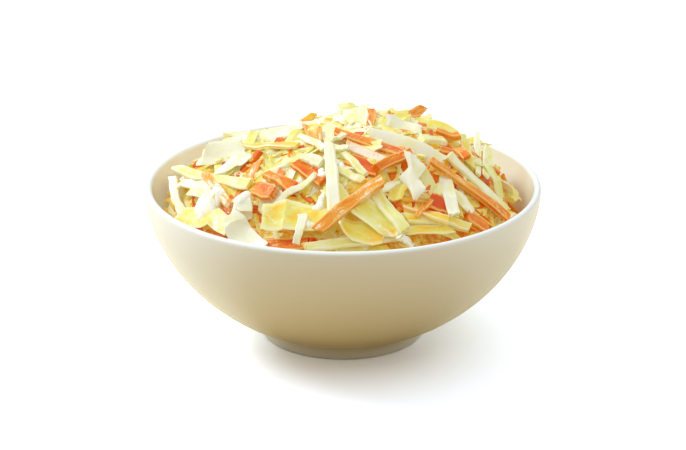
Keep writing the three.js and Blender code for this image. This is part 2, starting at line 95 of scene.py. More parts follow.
# The pieces that stand out, from the lowest to the topmost: name, kind, the plan places of the two ends
# (x, y, x, y), width, the heights by which the ends are lifted, bend in degrees, tone (0 pale, 1 deep).
# In 58 of the 70 rows the plan places come from a fitting program.
NAMED_SHREDS = (
    ("back_rim_rib", "rib", -45, 18, -28, 14, 4.4, 2, 2, 10, 0.2),
    ("back_rim_carrot", "carrot", 4, 40, 27, 36, 4.4, 0, 0, 4, 0.5),
    ("back_rim_shred", "shred", 23, 17, 34, 24, 3.6, 0, 3, -20, 0.4),
    ("back_wall_leaf", "shred", 46, 2, 47, -15, 4.4, 2, 0, 0, 0.6),
    ("back_wall_shred_a", "shred", 52, 26, 50, -18, 2.6, 6, 0, 0, 0.2),
    ("back_wall_shred_b", "shred", 56, 18, 53, -18, 4.2, 4, 0, 0, 0.3),
    ("right_wall_leaf", "leaf", 54, -11, 59, -16, 5.5, 0, 0, 0, 0.4),
    ("back_left_leaf", "leaf", -52, -1, -37, -5, 10, 1, 0, 0, 0.0),
    ("left_mid_leaf", "leaf", -47, -14, -34, -15, 9, 0, 0, 0, 0.05),
    ("front_carrot", "carrot", -27, -57, -11, -60, 5.0, 0, 0, 4, 0.7),
    ("left_wall_shred", "shred", -65, 0, -60, -23, 3.6, 3, 2, 10, 0.1),
    ("left_thin_carrot", "carrot", -51, -15, -42, -36, 3.4, 0, 0, 0, 0.1),
    ("left_carrot_c", "carrot", -32, -37, -25, -43, 6.4, 0, 0, 0, 0.6),
    ("left_carrot_b", "carrot", -28, -33, -18, -41, 5.0, 0, 0, 0, 0.5),
    ("front_olive_shred", "shred", -14, -63, 15, -58, 3.6, 0, 0, 5, 0.9),
    ("front_strip", "rib", -13, -65, 20, -58, 3.6, 0, 0, 5, 0.3),
    ("right_low_carrot", "carrot", 45, -41, 52, -39, 6.0, 0, 0, 0, 0.6),
    ("right_red_carrot", "carrot", 31, -43, 37, -43, 7.0, 0, 0, 0, 1.2),
    ("right_low_strip", "rib", 22, -53, 46, -46, 4.4, 0, 0, 8, 0.6),
    ("front_right_strip", "shred", 20, -57, 39, -52, 4.0, 0, 0, 5, 0.7),
    ("right_under_shred", "rib", 22, -48, 37, -51, 5.0, 0, 0, 5, 0.9),
    ("left_carrot_a", "carrot", -17, -30, -7, -41, 6.0, 0, 0, 0, 0.6),
    ("left_long_rib", "rib", -63, -1, -34, -33, 5.0, 4, 0, 0, 0.35),
    ("left_hook_shred", "shred", -61, -8, -47, -24, 3.8, 2, 0, -40, 0.0),
    ("left_low_leaf", "leaf", -61, -25, -40, -48, 8.5, 0, 0, 0, 0.5),
    ("left_cross_shred", "shred", -57, -18, -47, -31, 4.0, 0, 0, 0, 0.2),
    ("left_white_chunk", "rib", -37, -37, -35, -45, 5.6, 0, 0, 0, 0.0),
    ("far_left_rib", "leaf", -32, 3, -15, 1, 8.0, 0, 2, 0, 0.1),
    ("upper_left_shred", "shred", -37, -4, -17, -18, 4.6, 0, 0, 10, 0.75),
    ("left_mid_chunk", "rib", -14, -29, -8, -34, 5.4, 0, 0, 0, 0.1),
    ("upper_left_leaf", "leaf", -13, 12, 10, 12, 11, 1, 2, 0, 0.15),
    ("crest_leaf", "leaf", -7, -5, -1, -23, 8, 0, 0, 0, 0.2),
    ("crest_carrot_a", "fine_carrot", -14, 1, -9, -22, 2.6, 0, 0, 0, 0.3),
    ("crest_carrot_b", "fine_carrot", -9, -9, -9, -23, 2.2, 1, 0, 0, 0.2),
    ("crest_shred", "shred", -16, -8, -7, -26, 2.6, 0, 0, 0, 0.1),
    ("crown_carrot_deep", "carrot", 2, -31, 13, -37, 7.0, 0, 0, 0, 0.9),
    ("right_back_carrot_a", "carrot", 35, -1, 44, -1, 3.6, 0, 2, 0, 0.5),
    ("right_back_carrot_b", "carrot", 43, -8, 46, -15, 4.2, 0, 0, 0, 0.5),
    ("right_back_carrot_c", "carrot", 36, -16, 41, -14, 3.2, 0, 0, 0, 0.6),
    ("right_back_shred", "rib", 29, -13, 38, -6, 4.4, 0, 0, 0, 0.3),
    ("crown_carrot_tip", "carrot", 18, 1, 31, 20, 4.0, 0, 3, 6, 0.4),
    ("crown_carrot_b", "carrot", 14, 3, 18, 3, 3.6, 0, 1, 0, 0.6),
    ("crown_carrot_c", "carrot", 11, 10, 10, -7, 3.2, 0, 0, 0, 0.5),
    ("crown_carrot_long", "carrot", -3, -17, 24, -28, 5.2, 0, 0, 8, 0.6),
    ("coated_carrot", "carrot", 1, -24, 15, -33, 3.8, 0, 0, 0, -1.0),
    ("crown_shred", "shred", 7, 12, 10, -14, 3.4, 3, 0, 6, 0.1),
    ("twin_shred_a", "shred", 0, -29, 8, -40, 2.8, 0, 0, 8, 0.3),
    ("twin_shred_b", "shred", -2, -36, 7, -43, 2.8, 0, 0, 8, 0.4),
    ("narrow_shred", "shred", -24, -45, -10, -40, 2.6, 0, 0, 0, 0.1),
    ("mid_carrot", "carrot", 12, -38, 25, -28, 3.6, 0, 0, 0, 0.6),
    ("right_leaf_a", "leaf", 15, -4, 30, -7, 13, 0, 1, 0, 0.05),
    ("right_leaf_b", "leaf", 10, -18, 36, -23, 10, 0, 0, 0, 0.05),
    ("short_shred", "shred", 14, -43, 21, -37, 2.8, 0, 0, 0, 0.1),
    ("thin_carrot", "fine_carrot", 26, -53, 32, -44, 1.8, 0, 0, 0, 0.5),
    ("star_leaf", "star", 25, -31, 26, -45, 11, 0, 0, 0, 0.0),
    ("hook_leaf_a", "leaf", 37, -28, 40, -48, 5.6, 0, 0, 0, 0.05),
    ("hook_leaf_b", "leaf", 42, -33, 47, -39, 5.6, 0, 0, 0, 0.05),
    ("right_long_shred", "rib", 39, -19, 60, -24, 4.6, 0, 0, -8, 0.15),
    ("right_long_carrot", "carrot", 32, -28, 61, -28, 4.8, 0, 0, -6, 0.4),
    ("front_leaf", "leaf", -42, -47, -30, -60, 10, 0, 0, 0, 0.0),
    ("big_left_leaf", "leaf", -29, -52, -5, -54, 14.5, 0, 0, 0, 0.6),
    ("leaf_curl", "shred", -14, -54, -16, -62, 3.2, 0, 0, -30, 0.0),
    ("under_rib_leaf", "leaf", -6, -43, 2, -51, 9, 0, 0, 0, 0.4),
    ("tall_rib_arm", "shred", -4, -25, 2, -28, 2.6, 0, 0, 0, 0.1),
    ("tall_rib", "rib", -5, -27, -3, -55, 4.6, 0, 0, 0, 0.0),
    ("low_mid_leaf", "leaf", -1, -59, 15, -60, 10, 0, 0, 0, 0.7),
    ("big_mid_leaf", "leaf", 2, -50, 20, -59, 11, 0, 0, 0, 0.5),
    ("mid_edge_shred", "rib", 11, -45, 22, -60, 5.4, 0, 0, 4, 0.4),
    ("front_white_bit", "bit", 20, -62, 24, -61, 3.4, 0, 0, 0, -0.2),
    ("front_baton", "carrot", -9, -63, 14, -44, 4.8, 0, 0, 2, 0.25),
)

# Those of them that lean towards the front, by how many degrees.
LEANING = {
    "upper_left_leaf": 50,
    "right_leaf_a": 42,
    "right_leaf_b": 45,
    "far_left_rib": 25,
    "back_left_leaf": 25,
    "coated_carrot": 35,
    "crown_carrot_tip": 30,
    "crest_leaf": 20,
    "star_leaf": 15,
}


# ---- Settings -----------------------------------------------------------------------------------
def length_setting(name, description, default):
    """A setting in metres."""
    return FloatProperty(name=name, description=description, default=default, unit="LENGTH")


class BowlSettings(bpy.types.PropertyGroup):
    """Sizes and colour of the bowl."""

    rim_radius: length_setting("Rim radius", "Outer radius of the rim", BOWL_BOX[1][0])
    height: length_setting("Height", "Height from the foot to the rim", BOWL_BOX[1][2])
    glaze: FloatVectorProperty(
        name="Glaze", description="Colour of the porcelain", default=(0.935, 0.95, 0.935), subtype="COLOR"
    )


class HeapSettings(bpy.types.PropertyGroup):
    """Shape and filling of the heap."""

    peak: length_setting("Peak", "Height of the heap's dome", 86 * MM)
    edge: length_setting("Edge", "Height at which the heap meets the wall", 49 * MM)
    filler_count: IntProperty(
        name="Shreds", description="Shreds laid under and around the named ones", default=3800, min=0
    )
    drop_count: IntProperty(
        name="Drops", description="Small drops of dressing between the pieces", default=30, min=0
    )
    seed: IntProperty(name="Seed", description="Seed of the tangle's random draws", default=11)


class StageSettings(bpy.types.PropertyGroup):
    """Camera and light."""

    camera_distance: length_setting("Camera distance", "From the camera to the bowl", 0.9)
    camera_elevation: FloatProperty(
        name="Camera elevation",
        description="Angle above the horizon",
        default=math.radians(21.4),
        subtype="ANGLE",
    )
    key_power: FloatProperty(
        name="Key light", description="Power of the soft light at the upper left", default=9.4, unit="POWER"
    )


# ---- Helpers ------------------------------------------------------------------------------------
def linear(hex_colour):
    """Turn an sRGB hex colour such as "f0e6c8" into a linear RGBA tuple."""
    shares = [int(hex_colour[i : i + 2], 16) / 255 for i in (0, 2, 4)]
    return tuple(c / 12.92 if c <= 0.04045 else ((c + 0.055) / 1.055) ** 2.4 for c in shares) + (1.0,)


def add_node(tree, kind, inputs=None, stops=None, **settings):
    """Add a node. inputs holds values or sockets by input name or number, stops the colours of a ramp."""
    node = tree.nodes.new(kind)
    for name, value in settings.items():
        setattr(node, name, value)
    for key, value in (inputs or {}).items():
        if isinstance(value, bpy.types.NodeSocket):
            tree.links.new(value, node.inputs[key])
        else:
            node.inputs[key].default_value = value
    if stops:
        elements = node.color_ramp.elements
        while len(elements) < len(stops):
            elements.new(1.0)
        for element, (place, colour) in zip(elements, stops):
            element.position = place
            element.color = colour
    return node


def new_material(name):
    """An empty node material and its tree."""
    material = bpy.data.materials.new(name)
    material.use_nodes = True
    material.node_tree.nodes.clear()
    return material, material.node_tree


def new_mesh(name, corners, faces, smooth_angle=None, fibre=None):
    """Make an object from corner places in millimetres and lists of faces, shaded smooth.

    fibre is a vector for each corner: millimetres along the piece, millimetres across it, and its tone.
    """
    mesh = bpy.data.meshes.new(name)
    mesh.from_pydata((np.asarray(corners) * MM).tolist(), [], faces)
    mesh.shade_smooth()
    if smooth_angle is not None:
        mesh.set_sharp_from_angle(angle=math.radians(smooth_angle))
    if fibre is not None:
        layer = mesh.attributes.new("fibre", "FLOAT_VECTOR", "POINT")
        layer.data.foreach_set("vector", np.asarray(fibre, dtype=np.float32).ravel())
    mesh.validate()
    made = bpy.data.objects.new(name, mesh)
    bpy.context.scene.collection.objects.link(made)
    return made


def grid_faces(rows, columns, closed=False, start=0):
    """Quads of a grid of corners, row after row. closed joins the last column to the first."""
    across = columns if closed else columns - 1
    i, j = np.meshgrid(np.arange(rows - 1), np.arange(across), indexing="ij")
    k = (j + 1) % columns
    here, ahead = i * columns, (i + 1) * columns
    quads = np.stack([here + j, here + k, ahead + k, ahead + j], axis=-1)
    return quads.reshape(-1, 4) + start


def turned_surface(profile, segments):
    """Corners and faces of a profile turned about +Z.

    Corner (i, j) stands at radius r_i and height z_i at angle 2 pi j / segments. The profile starts and
    ends on the axis, where it closes in a pole.
    """
    radius, height = np.asarray(profile)[1:-1].T
    angle = 2 * np.pi * np.arange(segments) / segments
    ring = np.stack([np.cos(angle), np.sin(angle)], axis=-1)
    heights = np.broadcast_to(height[:, None, None], (len(radius), segments, 1))
    corners = np.concatenate([radius[:, None, None] * ring, heights], axis=-1).reshape(-1, 3)
    poles = np.array([[0, 0, profile[0][1]], [0, 0, profile[-1][1]]])
    faces = grid_faces(len(radius), segments, closed=True)
    first, last = len(corners), len(corners) + 1
    here = np.arange(segments)
    ahead = (here + 1) % segments
    top = (len(radius) - 1) * segments
    fans = [np.stack([ahead, here, np.full(segments, first)], axis=-1)]
    fans.append(np.stack([top + here, top + ahead, np.full(segments, last)], axis=-1))
    return np.concatenate([corners, poles]), faces.tolist() + np.concatenate(fans).tolist()


# ---- Bowl ---------------------------------------------------------------------------------------
# The side curve's start_slope, start_reach and end_reach come from a fitting program.
BOWL = SimpleNamespace(
    rim_radius=BOWL_BOX[1][0] / MM,
    height=BOWL_BOX[1][2] / MM,
    rim_wall=2.8,
    base_wall=4.2,
    foot_radius=31.3,
    foot_top_radius=32.3,
    foot_height=4.6,
    foot_ring_width=3.0,
    foot_recess=2.0,
    start_slope=math.radians(24),
    start_reach=35.3,
    end_reach=13.5,
)
GLAZE_GAP = 0.35


def side_curve(t):
    """The side's outer curve at shares t and its unit tangents: a cubic Bezier from foot to lip."""
    foot = np.array([BOWL.foot_top_radius, BOWL.foot_height])
    lip = np.array([BOWL.rim_radius, BOWL.height - BOWL.rim_wall / 2])
    pull = BOWL.start_reach * np.array([math.cos(BOWL.start_slope), math.sin(BOWL.start_slope)])
    a, b, c, d = foot, foot + pull, lip - [0, BOWL.end_reach], lip
    t = np.asarray(t)[:, None]
    place = a * (1 - t) ** 3 + 3 * b * t * (1 - t) ** 2 + 3 * c * t**2 * (1 - t) + d * t**3
    slope = 3 * (b - a) * (1 - t) ** 2 + 6 * (c - b) * t * (1 - t) + 3 * (d - c) * t**2
    return place, slope / np.linalg.norm(slope, axis=1, keepdims=True)


def inner_side(t, gap=0.0):
    """The inner side at shares t: the outer curve moved inwards by the wall and the gap."""
    place, tangent = side_curve(t)
    wall = BOWL.base_wall + (BOWL.rim_wall - BOWL.base_wall) * np.asarray(t)[:, None] + gap
    return place + wall * np.stack([-tangent[:, 1], tangent[:, 0]], axis=-1)


def inner_profile(gap, steps, floor_steps=12):
    """The inside from the lip to the axis. The floor flattens as the fourth power of the radius."""
    side = inner_side(np.linspace(1, 0, steps), gap)
    start = side[-1]
    share = np.linspace(1, 0, floor_steps)[1:]
    drop = math.tan(BOWL.start_slope) * start[0] / 4 * (1 - share**4)
    return np.concatenate([side, np.stack([start[0] * share, start[1] - drop], axis=-1)])


def rounded(centre, radius, start, end, steps=5):
    """An arc of a profile, with angles in degrees from the outward direction."""
    angle = np.radians(np.linspace(start, end, steps))
    return np.stack([centre[0] + radius * np.cos(angle), centre[1] + radius * np.sin(angle)], axis=-1)


def bowl_profile():
    """The bowl's section: recess, foot ring, side, rounded lip and inside, from axis to axis."""
    ring_inside = BOWL.foot_radius - BOWL.foot_ring_width
    soft, flank = 0.5, 1.0  # radius of the ring's edges, and the width of its slanting inner flank
    narrower, lower = 0.25, 0.7  # the last point of the foot, from where the side begins
    recess = [[r, BOWL.foot_recess] for r in (0, ring_inside * 0.5, ring_inside - flank)]
    inner_edge = rounded((ring_inside + soft, soft), soft, 180, 270)
    outer_edge = rounded((BOWL.foot_radius - soft, soft), soft, 270, 360)
    neck = [[BOWL.foot_top_radius - narrower, BOWL.foot_height - lower]]
    side, _ = side_curve(np.linspace(0.008, 1, 72))
    half_lip = BOWL.rim_wall / 2
    lip = rounded((BOWL.rim_radius - half_lip, BOWL.height - half_lip), half_lip, 0, 180, 13)
    return np.concatenate([recess, inner_edge, outer_edge, neck, side, lip[1:-1], inner_profile(0, 60)])


@functools.lru_cache(maxsize=None)
def inner_table():
    """Heights and radii of the inside, less the gap that the contents keep."""
    side = inner_side(np.linspace(0, 1, 81), GLAZE_GAP)
    return side[:, 1], side[:, 0]


def inner_radius_at(z):
    """The room inside the bowl at a height."""
    heights, radii = inner_table()
    return np.interp(z, heights, radii)


def wall_height(x, y):
    """The height of the bowl's inside over plan places."""
    heights, radii = inner_table()
    return np.interp(np.hypot(x, y), radii, heights)


# ---- Heap: its dome and the height of what is laid ------------------------------------------------
# The lumps' rises and back_fall come from a fitting program, rounded to 0.1 mm.
HEAP = SimpleNamespace(
    edge_radius=70.0,
    shift=8.0,
    fullness=2.5,
    core_depth=11.5,
    ceiling=87.0,
    filler_reach=69.0,
    # x, y, width and rise of each lump
    lumps=((-46, 12, 13, 3.7), (-22, 14, 14, -6.0), (4, 16, 14, -0.8), (40, 10, 13, -1.2)),
    back_reach=30.0,
    back_fall=4.7,  # how much lower than round the dome is, back_reach behind the middle
)
WALL_CLEARANCE = 0.5
WALL_SUPPORT = 4  # the wall carries the heap up to this much below the heap's edge
# The soaked core: the height of its rim, how deep its top lies under the shreds, its least height over the
# wall, the width over which its top leaves the rim's height, and its divisions.
CORE = SimpleNamespace(rim=41.0, sink=2.2, over_wall=0.3, blend=5, rings=90, side_steps=40, segments=216)
ALONG_WALL = 50.0  # the fillers beyond this radius lie along the wall
ALONG_WALL_SPREAD = 0.35  # the spread of their headings, in radians
LARGE_SHARE = 0.25  # the share of the fillers laid anywhere, before those that fill the gaps
CHOICES = 8  # the places drawn for each filler, of which the best is taken
RECENT = 60  # the large fillers keep away from this many that were laid before
# The fillers' ceiling lies this high over the dome or over the wall. Over the dome it falls towards the
# front twice: where each fall begins, how long it is and how deep.
CAP_OVER_DOME, CAP_OVER_WALL = 0.2, 2.5
CAP_FALLS = ((18, 24, 3.0), (-38, 12, 1.6))
SHEET_TONE, STRIP_TONE = 0.45, 0.8  # the share of its drawn tone that a filler keeps
PAINTED_DEPTH_SHADE = 0.045  # painted shade: the tone added for each millimetre that a filler lies below the dome, deeper yellow and orange lower down


def dome_height(x, y, heap):
    """The heap's dome: the peak less the drop times (share of the edge radius) to the power fullness.

    A few lumps are added to it, each a Gaussian bell of its own width and rise, and behind the middle it
    falls off with the square of the distance.
    """
    peak, edge = heap.peak / MM, heap.edge / MM
    inward = 1 - np.minimum(np.hypot(x, y) / HEAP.edge_radius, 1)
    share = np.hypot(x - HEAP.shift * inward, y) / HEAP.edge_radius
    height = peak - (peak - edge) * np.minimum(share, 1.05) ** HEAP.fullness
    for lump_x, lump_y, width, rise in HEAP.lumps:
        height = height + rise * np.exp(-((x - lump_x) ** 2 + (y - lump_y) ** 2) / (2 * width**2))
    return height - HEAP.back_fall * np.clip(y / HEAP.back_reach, 0, 2) ** 2


def unevenness(x, y):
    """Low bumps: products and sums of slow sines."""
    return 1.1 * np.sin(x / 9 + 0.6) * np.cos(y / 11 - 0.4) + 0.7 * np.sin((x + 2 * y) / 13)


def core_height(x, y, heap):
    """The core's top: the dome let down by the depth of loose shreds, less of it near the wall."""
    shallow = 1 - 0.2 * np.minimum(np.hypot(x, y) / HEAP.edge_radius, 1) ** 3
    return dome_height(x, y, heap) - HEAP.core_depth * shallow + unevenness(x, y)


def wall_under(x, y, heap):
    """The wall where it carries the heap: only up to a little below the heap's edge."""
    return np.minimum(wall_height(x, y), heap.edge / MM - WALL_SUPPORT)


def fine_relief(x, y):
    """Relief finer than a shred: three crossed sines, at most 0.75 mm up or down."""
    along = 0.3 * np.sin(x * 1.9 + np.sin(y * 0.7) * 2)
    across = 0.25 * np.sin(y * 1.6 + np.sin(x * 0.9) * 2)
    return along + across + 0.2 * np.sin(x * 0.8 - y)


class HeightField:
    """The height of the heap so far over a grid of plan cells."""

    cell = 0.75
    reach = 76.0

    def __init__(self, heap):
        axis = np.arange(-self.reach, self.reach + self.cell, self.cell)
        self.count = len(axis)
        x, y = np.meshgrid(axis, axis)
        self.heights = np.maximum(core_height(x, y, heap), wall_under(x, y, heap) - 1)

    def index(self, values):
        return np.clip(np.rint((values + self.reach) / self.cell).astype(int), 0, self.count - 1)

    def at(self, x, y):
        return self.heights[self.index(y), self.index(x)]

    def raise_to(self, x, y, z):
        np.maximum.at(self.heights, (self.index(y), self.index(x)), z)

    def smoothed(self, width):
        """A copy whose heights are averaged with Gaussian weights of the given width."""
        steps = np.arange(-math.ceil(3 * width / self.cell), math.ceil(3 * width / self.cell) + 1)
        weights = np.exp(-0.5 * (steps * self.cell / width) ** 2)
        reach = steps[-1]
        heights = self.heights
        for _ in range(2):
            wide = np.pad(heights, ((reach, reach), (0, 0)), mode="edge")
            windows = np.lib.stride_tricks.sliding_window_view(wide, len(steps), axis=0)
            heights = (windows @ (weights / weights.sum())).T
        made = HeightField.__new__(HeightField)
        made.count, made.heights = self.count, heights
        return made


# ---- Heap: laying one piece -----------------------------------------------------------------------
# The larger drops of dressing: plan place, radius and rise.
DRESSING = ((-51, -32, 4.4, 3.2), (-46, -30, 3.0, 1.6), (-37, -41, 3.0, 1.6), (-42, -14, 3.4, 0.9))
# Middle and spread of the small drops' places, ranges of their radius and rise, and how far inside the
# fillers' reach they stay. Every drop's underside lies depth below the heap at its edge, and deeper by belly
# in its middle.
DROP = SimpleNamespace(
    middle=-24, spread=30, radius=(1.0, 2.4), rise=(0.0, 0.4), margin=5, depth=1.2, belly=0.4
)
DROP_SINK = 1.3  # how far a drop's edge dips below the smoothed heap
NAMED_STACK = 3.8  # how much higher above the dome the last named piece may lie than the first
NAMED_SPARE = 2.0  # how high above the dome the first named piece and every leaf may lie
BELOW_PEAK = 0.6  # how far below the peak's height the back of a named piece stays, on average
GIVE = 0.45  # how far a bump presses into the piece that lies on it
DIP = 1.3  # how far a piece may lie below the highest spot under its width
SINK = 0.35  # how deep a piece beds into what is under it
END_BUNCHING = 1.15  # above 1, a piece's steps lie closer together towards its ends
STEEPEST, TILT_SHARE = 0.9, 0.8  # the limit of the slope across a piece, and how much of it is followed
LIFT_POWER = 1.6  # how late a lifted end begins to rise


def eased(values, floor, passes):
    """Average each value with its neighbours, never letting it fall below the floor."""
    for _ in range(passes):
        wide = np.concatenate([values[:1], values, values[-1:]])
        values = np.maximum((wide[:-2] + 2 * wide[1:-1] + wide[2:]) / 4, floor)
    return values


def straight_over(supports):
    """A straight line along the supports' mean slope, let down onto the highest of them."""
    steps = np.arange(len(supports)) - (len(supports) - 1) / 2
    line = supports.mean() + steps * (steps @ (supports - supports.mean())) / (steps @ steps)
    return line + (supports - line).max() - GIVE


def beside(x, y, side, offsets):
    """The plan places at some offsets to the side of a line's points."""
    return x[:, None] + offsets * np.cos(side)[:, None], y[:, None] + offsets * np.sin(side)[:, None]


def resting_line(field, piece):
    """The line of a piece's middle over the heap.

    In plan it is an arc of the piece's bend. Its height is what lies under it, bridged by stiffness.
    """
    u = np.linspace(-0.5, 0.5, piece.along + 1)
    u = np.sign(u) * 0.5 * (1 - (1 - 2 * np.abs(u)) ** END_BUNCHING)
    turn = piece.bend * u / 2
    x = piece.x + u * piece.length * np.cos(piece.heading + turn)
    y = piece.y + u * piece.length * np.sin(piece.heading + turn)
    side = piece.heading + 2 * turn + np.pi / 2
    offsets = np.linspace(-0.5, 0.5, 5) * piece.width
    under = field.at(*beside(x, y, side, offsets))
    tilt = np.clip((under[:, -1] - under[:, 0]) / piece.width, -STEEPEST, STEEPEST)
    tilt = eased(tilt, -math.inf, 4) * TILT_SHARE
    support = np.maximum(under.mean(axis=1), under.max(axis=1) - DIP)
    limp = eased(support, support - GIVE, 5)
    first, last = (np.clip(way * u, 0, 1) ** LIFT_POWER for way in (-2, 2))
    lifts = piece.lifts[0] * first + piece.lifts[1] * last
    rest = limp + (straight_over(support) - limp) * piece.stiff
    z = rest + piece.thickness / 2 - piece.sink + lifts
    return SimpleNamespace(u=u, x=x, y=y, z=z, side=side, tilt=tilt)


def section_frames(line, piece):
    """Unit vectors ahead, sideways and up at each step, rolled and twisted about the line."""
    middle = np.stack([line.x, line.y, line.z], axis=-1)
    ahead = np.gradient(middle, axis=0)
    ahead /= np.linalg.norm(ahead, axis=1, keepdims=True)
    side = np.stack([np.cos(line.side), np.sin(line.side), line.tilt], axis=-1)
    side -= (side * ahead).sum(axis=1, keepdims=True) * ahead
    side /= np.linalg.norm(side, axis=1, keepdims=True)
    up = np.cross(ahead, side)
    roll = (piece.roll + piece.twist * line.u)[:, None]
    turned = side * np.cos(roll) + up * np.sin(roll)
    return middle, ahead, turned, np.cross(ahead, turned)


def wobble(draws, steps, strength):
    """A smooth random course of the given strength: three sines with random phases."""
    u = np.linspace(0, 1, steps)[:, None]
    phase = draws.uniform(0, 2 * np.pi, 3)
    return strength * (np.sin(2 * np.pi * u * [0.8, 1.9, 3.7] + phase) * [0.5, 0.35, 0.25]).sum(axis=1)


def strip_corners(line, piece):
    """Corners of a strip: a rectangle with chamfered edges and split sides, carried along the line.

    Its half width and half thickness wander along the strip. wedge thins one long side of it, and the
    ends are cut at a slant.
    """
    draws = np.random.RandomState(piece.seed)
    middle, ahead, side, up = section_frames(line, piece)
    steps = len(line.u)
    ends = 1 - piece.taper * np.abs(2 * line.u) ** 5
    half_width = (piece.width / 2 * ends * (1 + wobble(draws, steps, piece.wander)))[:, None]
    half_thickness = (piece.thickness / 2 * (1 + wobble(draws, steps, piece.wander)))[:, None]
    chamfer = min(piece.chamfer, 0.3 * piece.thickness * piece.wedge)
    sides = np.array([1, 1, 1, -1, -1, -1, -1, -1, 1, 1])
    across = half_width * sides + chamfer * np.array([0, 0, -1, 1, 0, 0, 0, 1, -1, 0])
    thin = np.array([0, 1, 1, 1, 1, 0, -1, -1, -1, -1]) * np.where(across > 0, 1, piece.wedge)
    upward = half_thickness * thin + chamfer * np.array([0, -1, 0, 0, -1, 0, 1, 0, 0, 1])
    rim = np.array([0.6, 1, 1, -1, -1, -0.6, -1, -1, 1, 1])
    at_end = np.where(np.abs(line.u) > 0.49, np.sign(line.u), 0.0)[:, None]
    slant = at_end * (piece.cut * across + piece.dip * upward)
    middle = middle + wobble(draws, steps, 0.25)[:, None] * side
    corners = (
        middle[:, None]
        + across[..., None] * side[:, None]
        + upward[..., None] * up[:, None]
        + slant[..., None] * ahead[:, None]
    )
    along = (line.u + 0.5) * piece.length + piece.grain
    tone = piece.tone + piece.tone_slope * line.u
    fibre = np.stack(np.broadcast_arrays(along[:, None], piece.rim * rim, tone[:, None]), axis=-1)
    return corners.reshape(-1, 3), fibre.reshape(-1, 3)


def strip_faces(piece):
    """Quads round a strip, and its two ends closed with quads across them."""
    rows, around = piece.along + 1, piece.around
    sides = grid_faces(rows, around, closed=True)[:, ::-1]
    low = np.arange(around // 2 - 1)
    cap = np.stack([low, low + 1, around - 2 - low, around - 1 - low], axis=-1)
    return np.concatenate([sides, cap, cap[:, ::-1] + (rows - 1) * around])


# How wide a star-shaped scrap is at its five knots, on its left and on its right.
STAR_SPIKES = ((0.5, 0.25, 1.0, 0.35, 0.08), (0.2, 0.95, 0.3, 0.8, 0.08))


def leaf_corners(line, piece):
    """Corners of a leaf piece: a thin sheet with both faces split alike.

    Its half widths run straight between five knots, as knife cuts do. It is folded along one column and
    kinked across one row, and ripples a little as a product of sines.
    """
    draws = np.random.RandomState(piece.seed)
    middle, ahead, side, up = section_frames(line, piece)
    rows, columns = len(line.u), piece.around
    v = np.linspace(-1, 1, columns)
    knots = draws.uniform(1 - piece.wander, 1.0, (2, 5))
    knots[:, (0, -1)] *= draws.uniform(1 - 2 * min(piece.wander, 0.45), 1.0, (2, 2))
    if piece.kind == "star":
        knots = np.array(STAR_SPIKES)
    left, right = (np.interp(line.u, np.linspace(-0.5, 0.5, 5), k) for k in knots)
    half = piece.width / 2 * np.where(v < 0, left[:, None], right[:, None])
    along = (line.u + 0.5) * piece.length
    crease = v[draws.randint(2, columns - 2)]
    row = draws.randint(2, rows - 2)
    folded = -piece.fold * np.abs(v - crease) * piece.width / 2
    kinked = -piece.kink * np.maximum(line.u - line.u[row], 0) * piece.length
    phase = draws.uniform(0, 2 * np.pi, 2)
    ripple = piece.wave * np.sin(along[:, None] / 2.8 + phase[0]) * np.sin(v * 2.2 + phase[1])
    slant = np.where(np.abs(line.u) > 0.49, np.sign(line.u), 0.0)[:, None] * piece.cut * half * v
    frayed = draws.uniform(-0.5, 0.5, (rows, columns))
    thin = piece.thickness / 2 * (1 - 0.7 * np.abs(v) ** 5)
    sheet = (
        middle[:, None]
        + (half * v)[..., None] * side[:, None]
        + (slant + frayed)[..., None] * ahead[:, None]
        + (folded + kinked[:, None] + ripple)[..., None] * up[:, None]
    )
    faces = np.stack([sheet + thin[:, None] * up[:, None], sheet - thin[:, None] * up[:, None]])
    tone = piece.tone + piece.tone_slope * line.u
    rim = piece.rim * np.maximum(np.abs(v), np.abs(2 * line.u)[:, None] ** 3) * np.where(v < 0, -1, 1)
    fibre = np.stack(np.broadcast_arrays((along + piece.grain)[:, None], rim, tone[:, None]), axis=-1)
    return faces.reshape(-1, 3), np.stack([fibre, fibre]).reshape(-1, 3)


def leaf_faces(piece):
    """Quads of a leaf's two faces and of the rim between them."""
    rows, columns = piece.along + 1, piece.around
    count = rows * columns
    top = grid_faces(rows, columns)
    edge = np.concatenate(
        [
            np.arange(columns),
            np.arange(1, rows) * columns + columns - 1,
            (rows - 1) * columns + np.arange(columns - 2, -1, -1),
            np.arange(rows - 2, 0, -1) * columns,
        ]
    )
    ahead = np.roll(edge, -1)
    rim = np.stack([ahead, edge, edge + count, ahead + count], axis=-1)
    return np.concatenate([top[:, ::-1], top + count, rim[:, ::-1]])


LAY_TRIES = 8
STEP_IN, SHRINK = 0.3, 0.96  # each try moves a piece in by this much more than it lacks, and shortens it


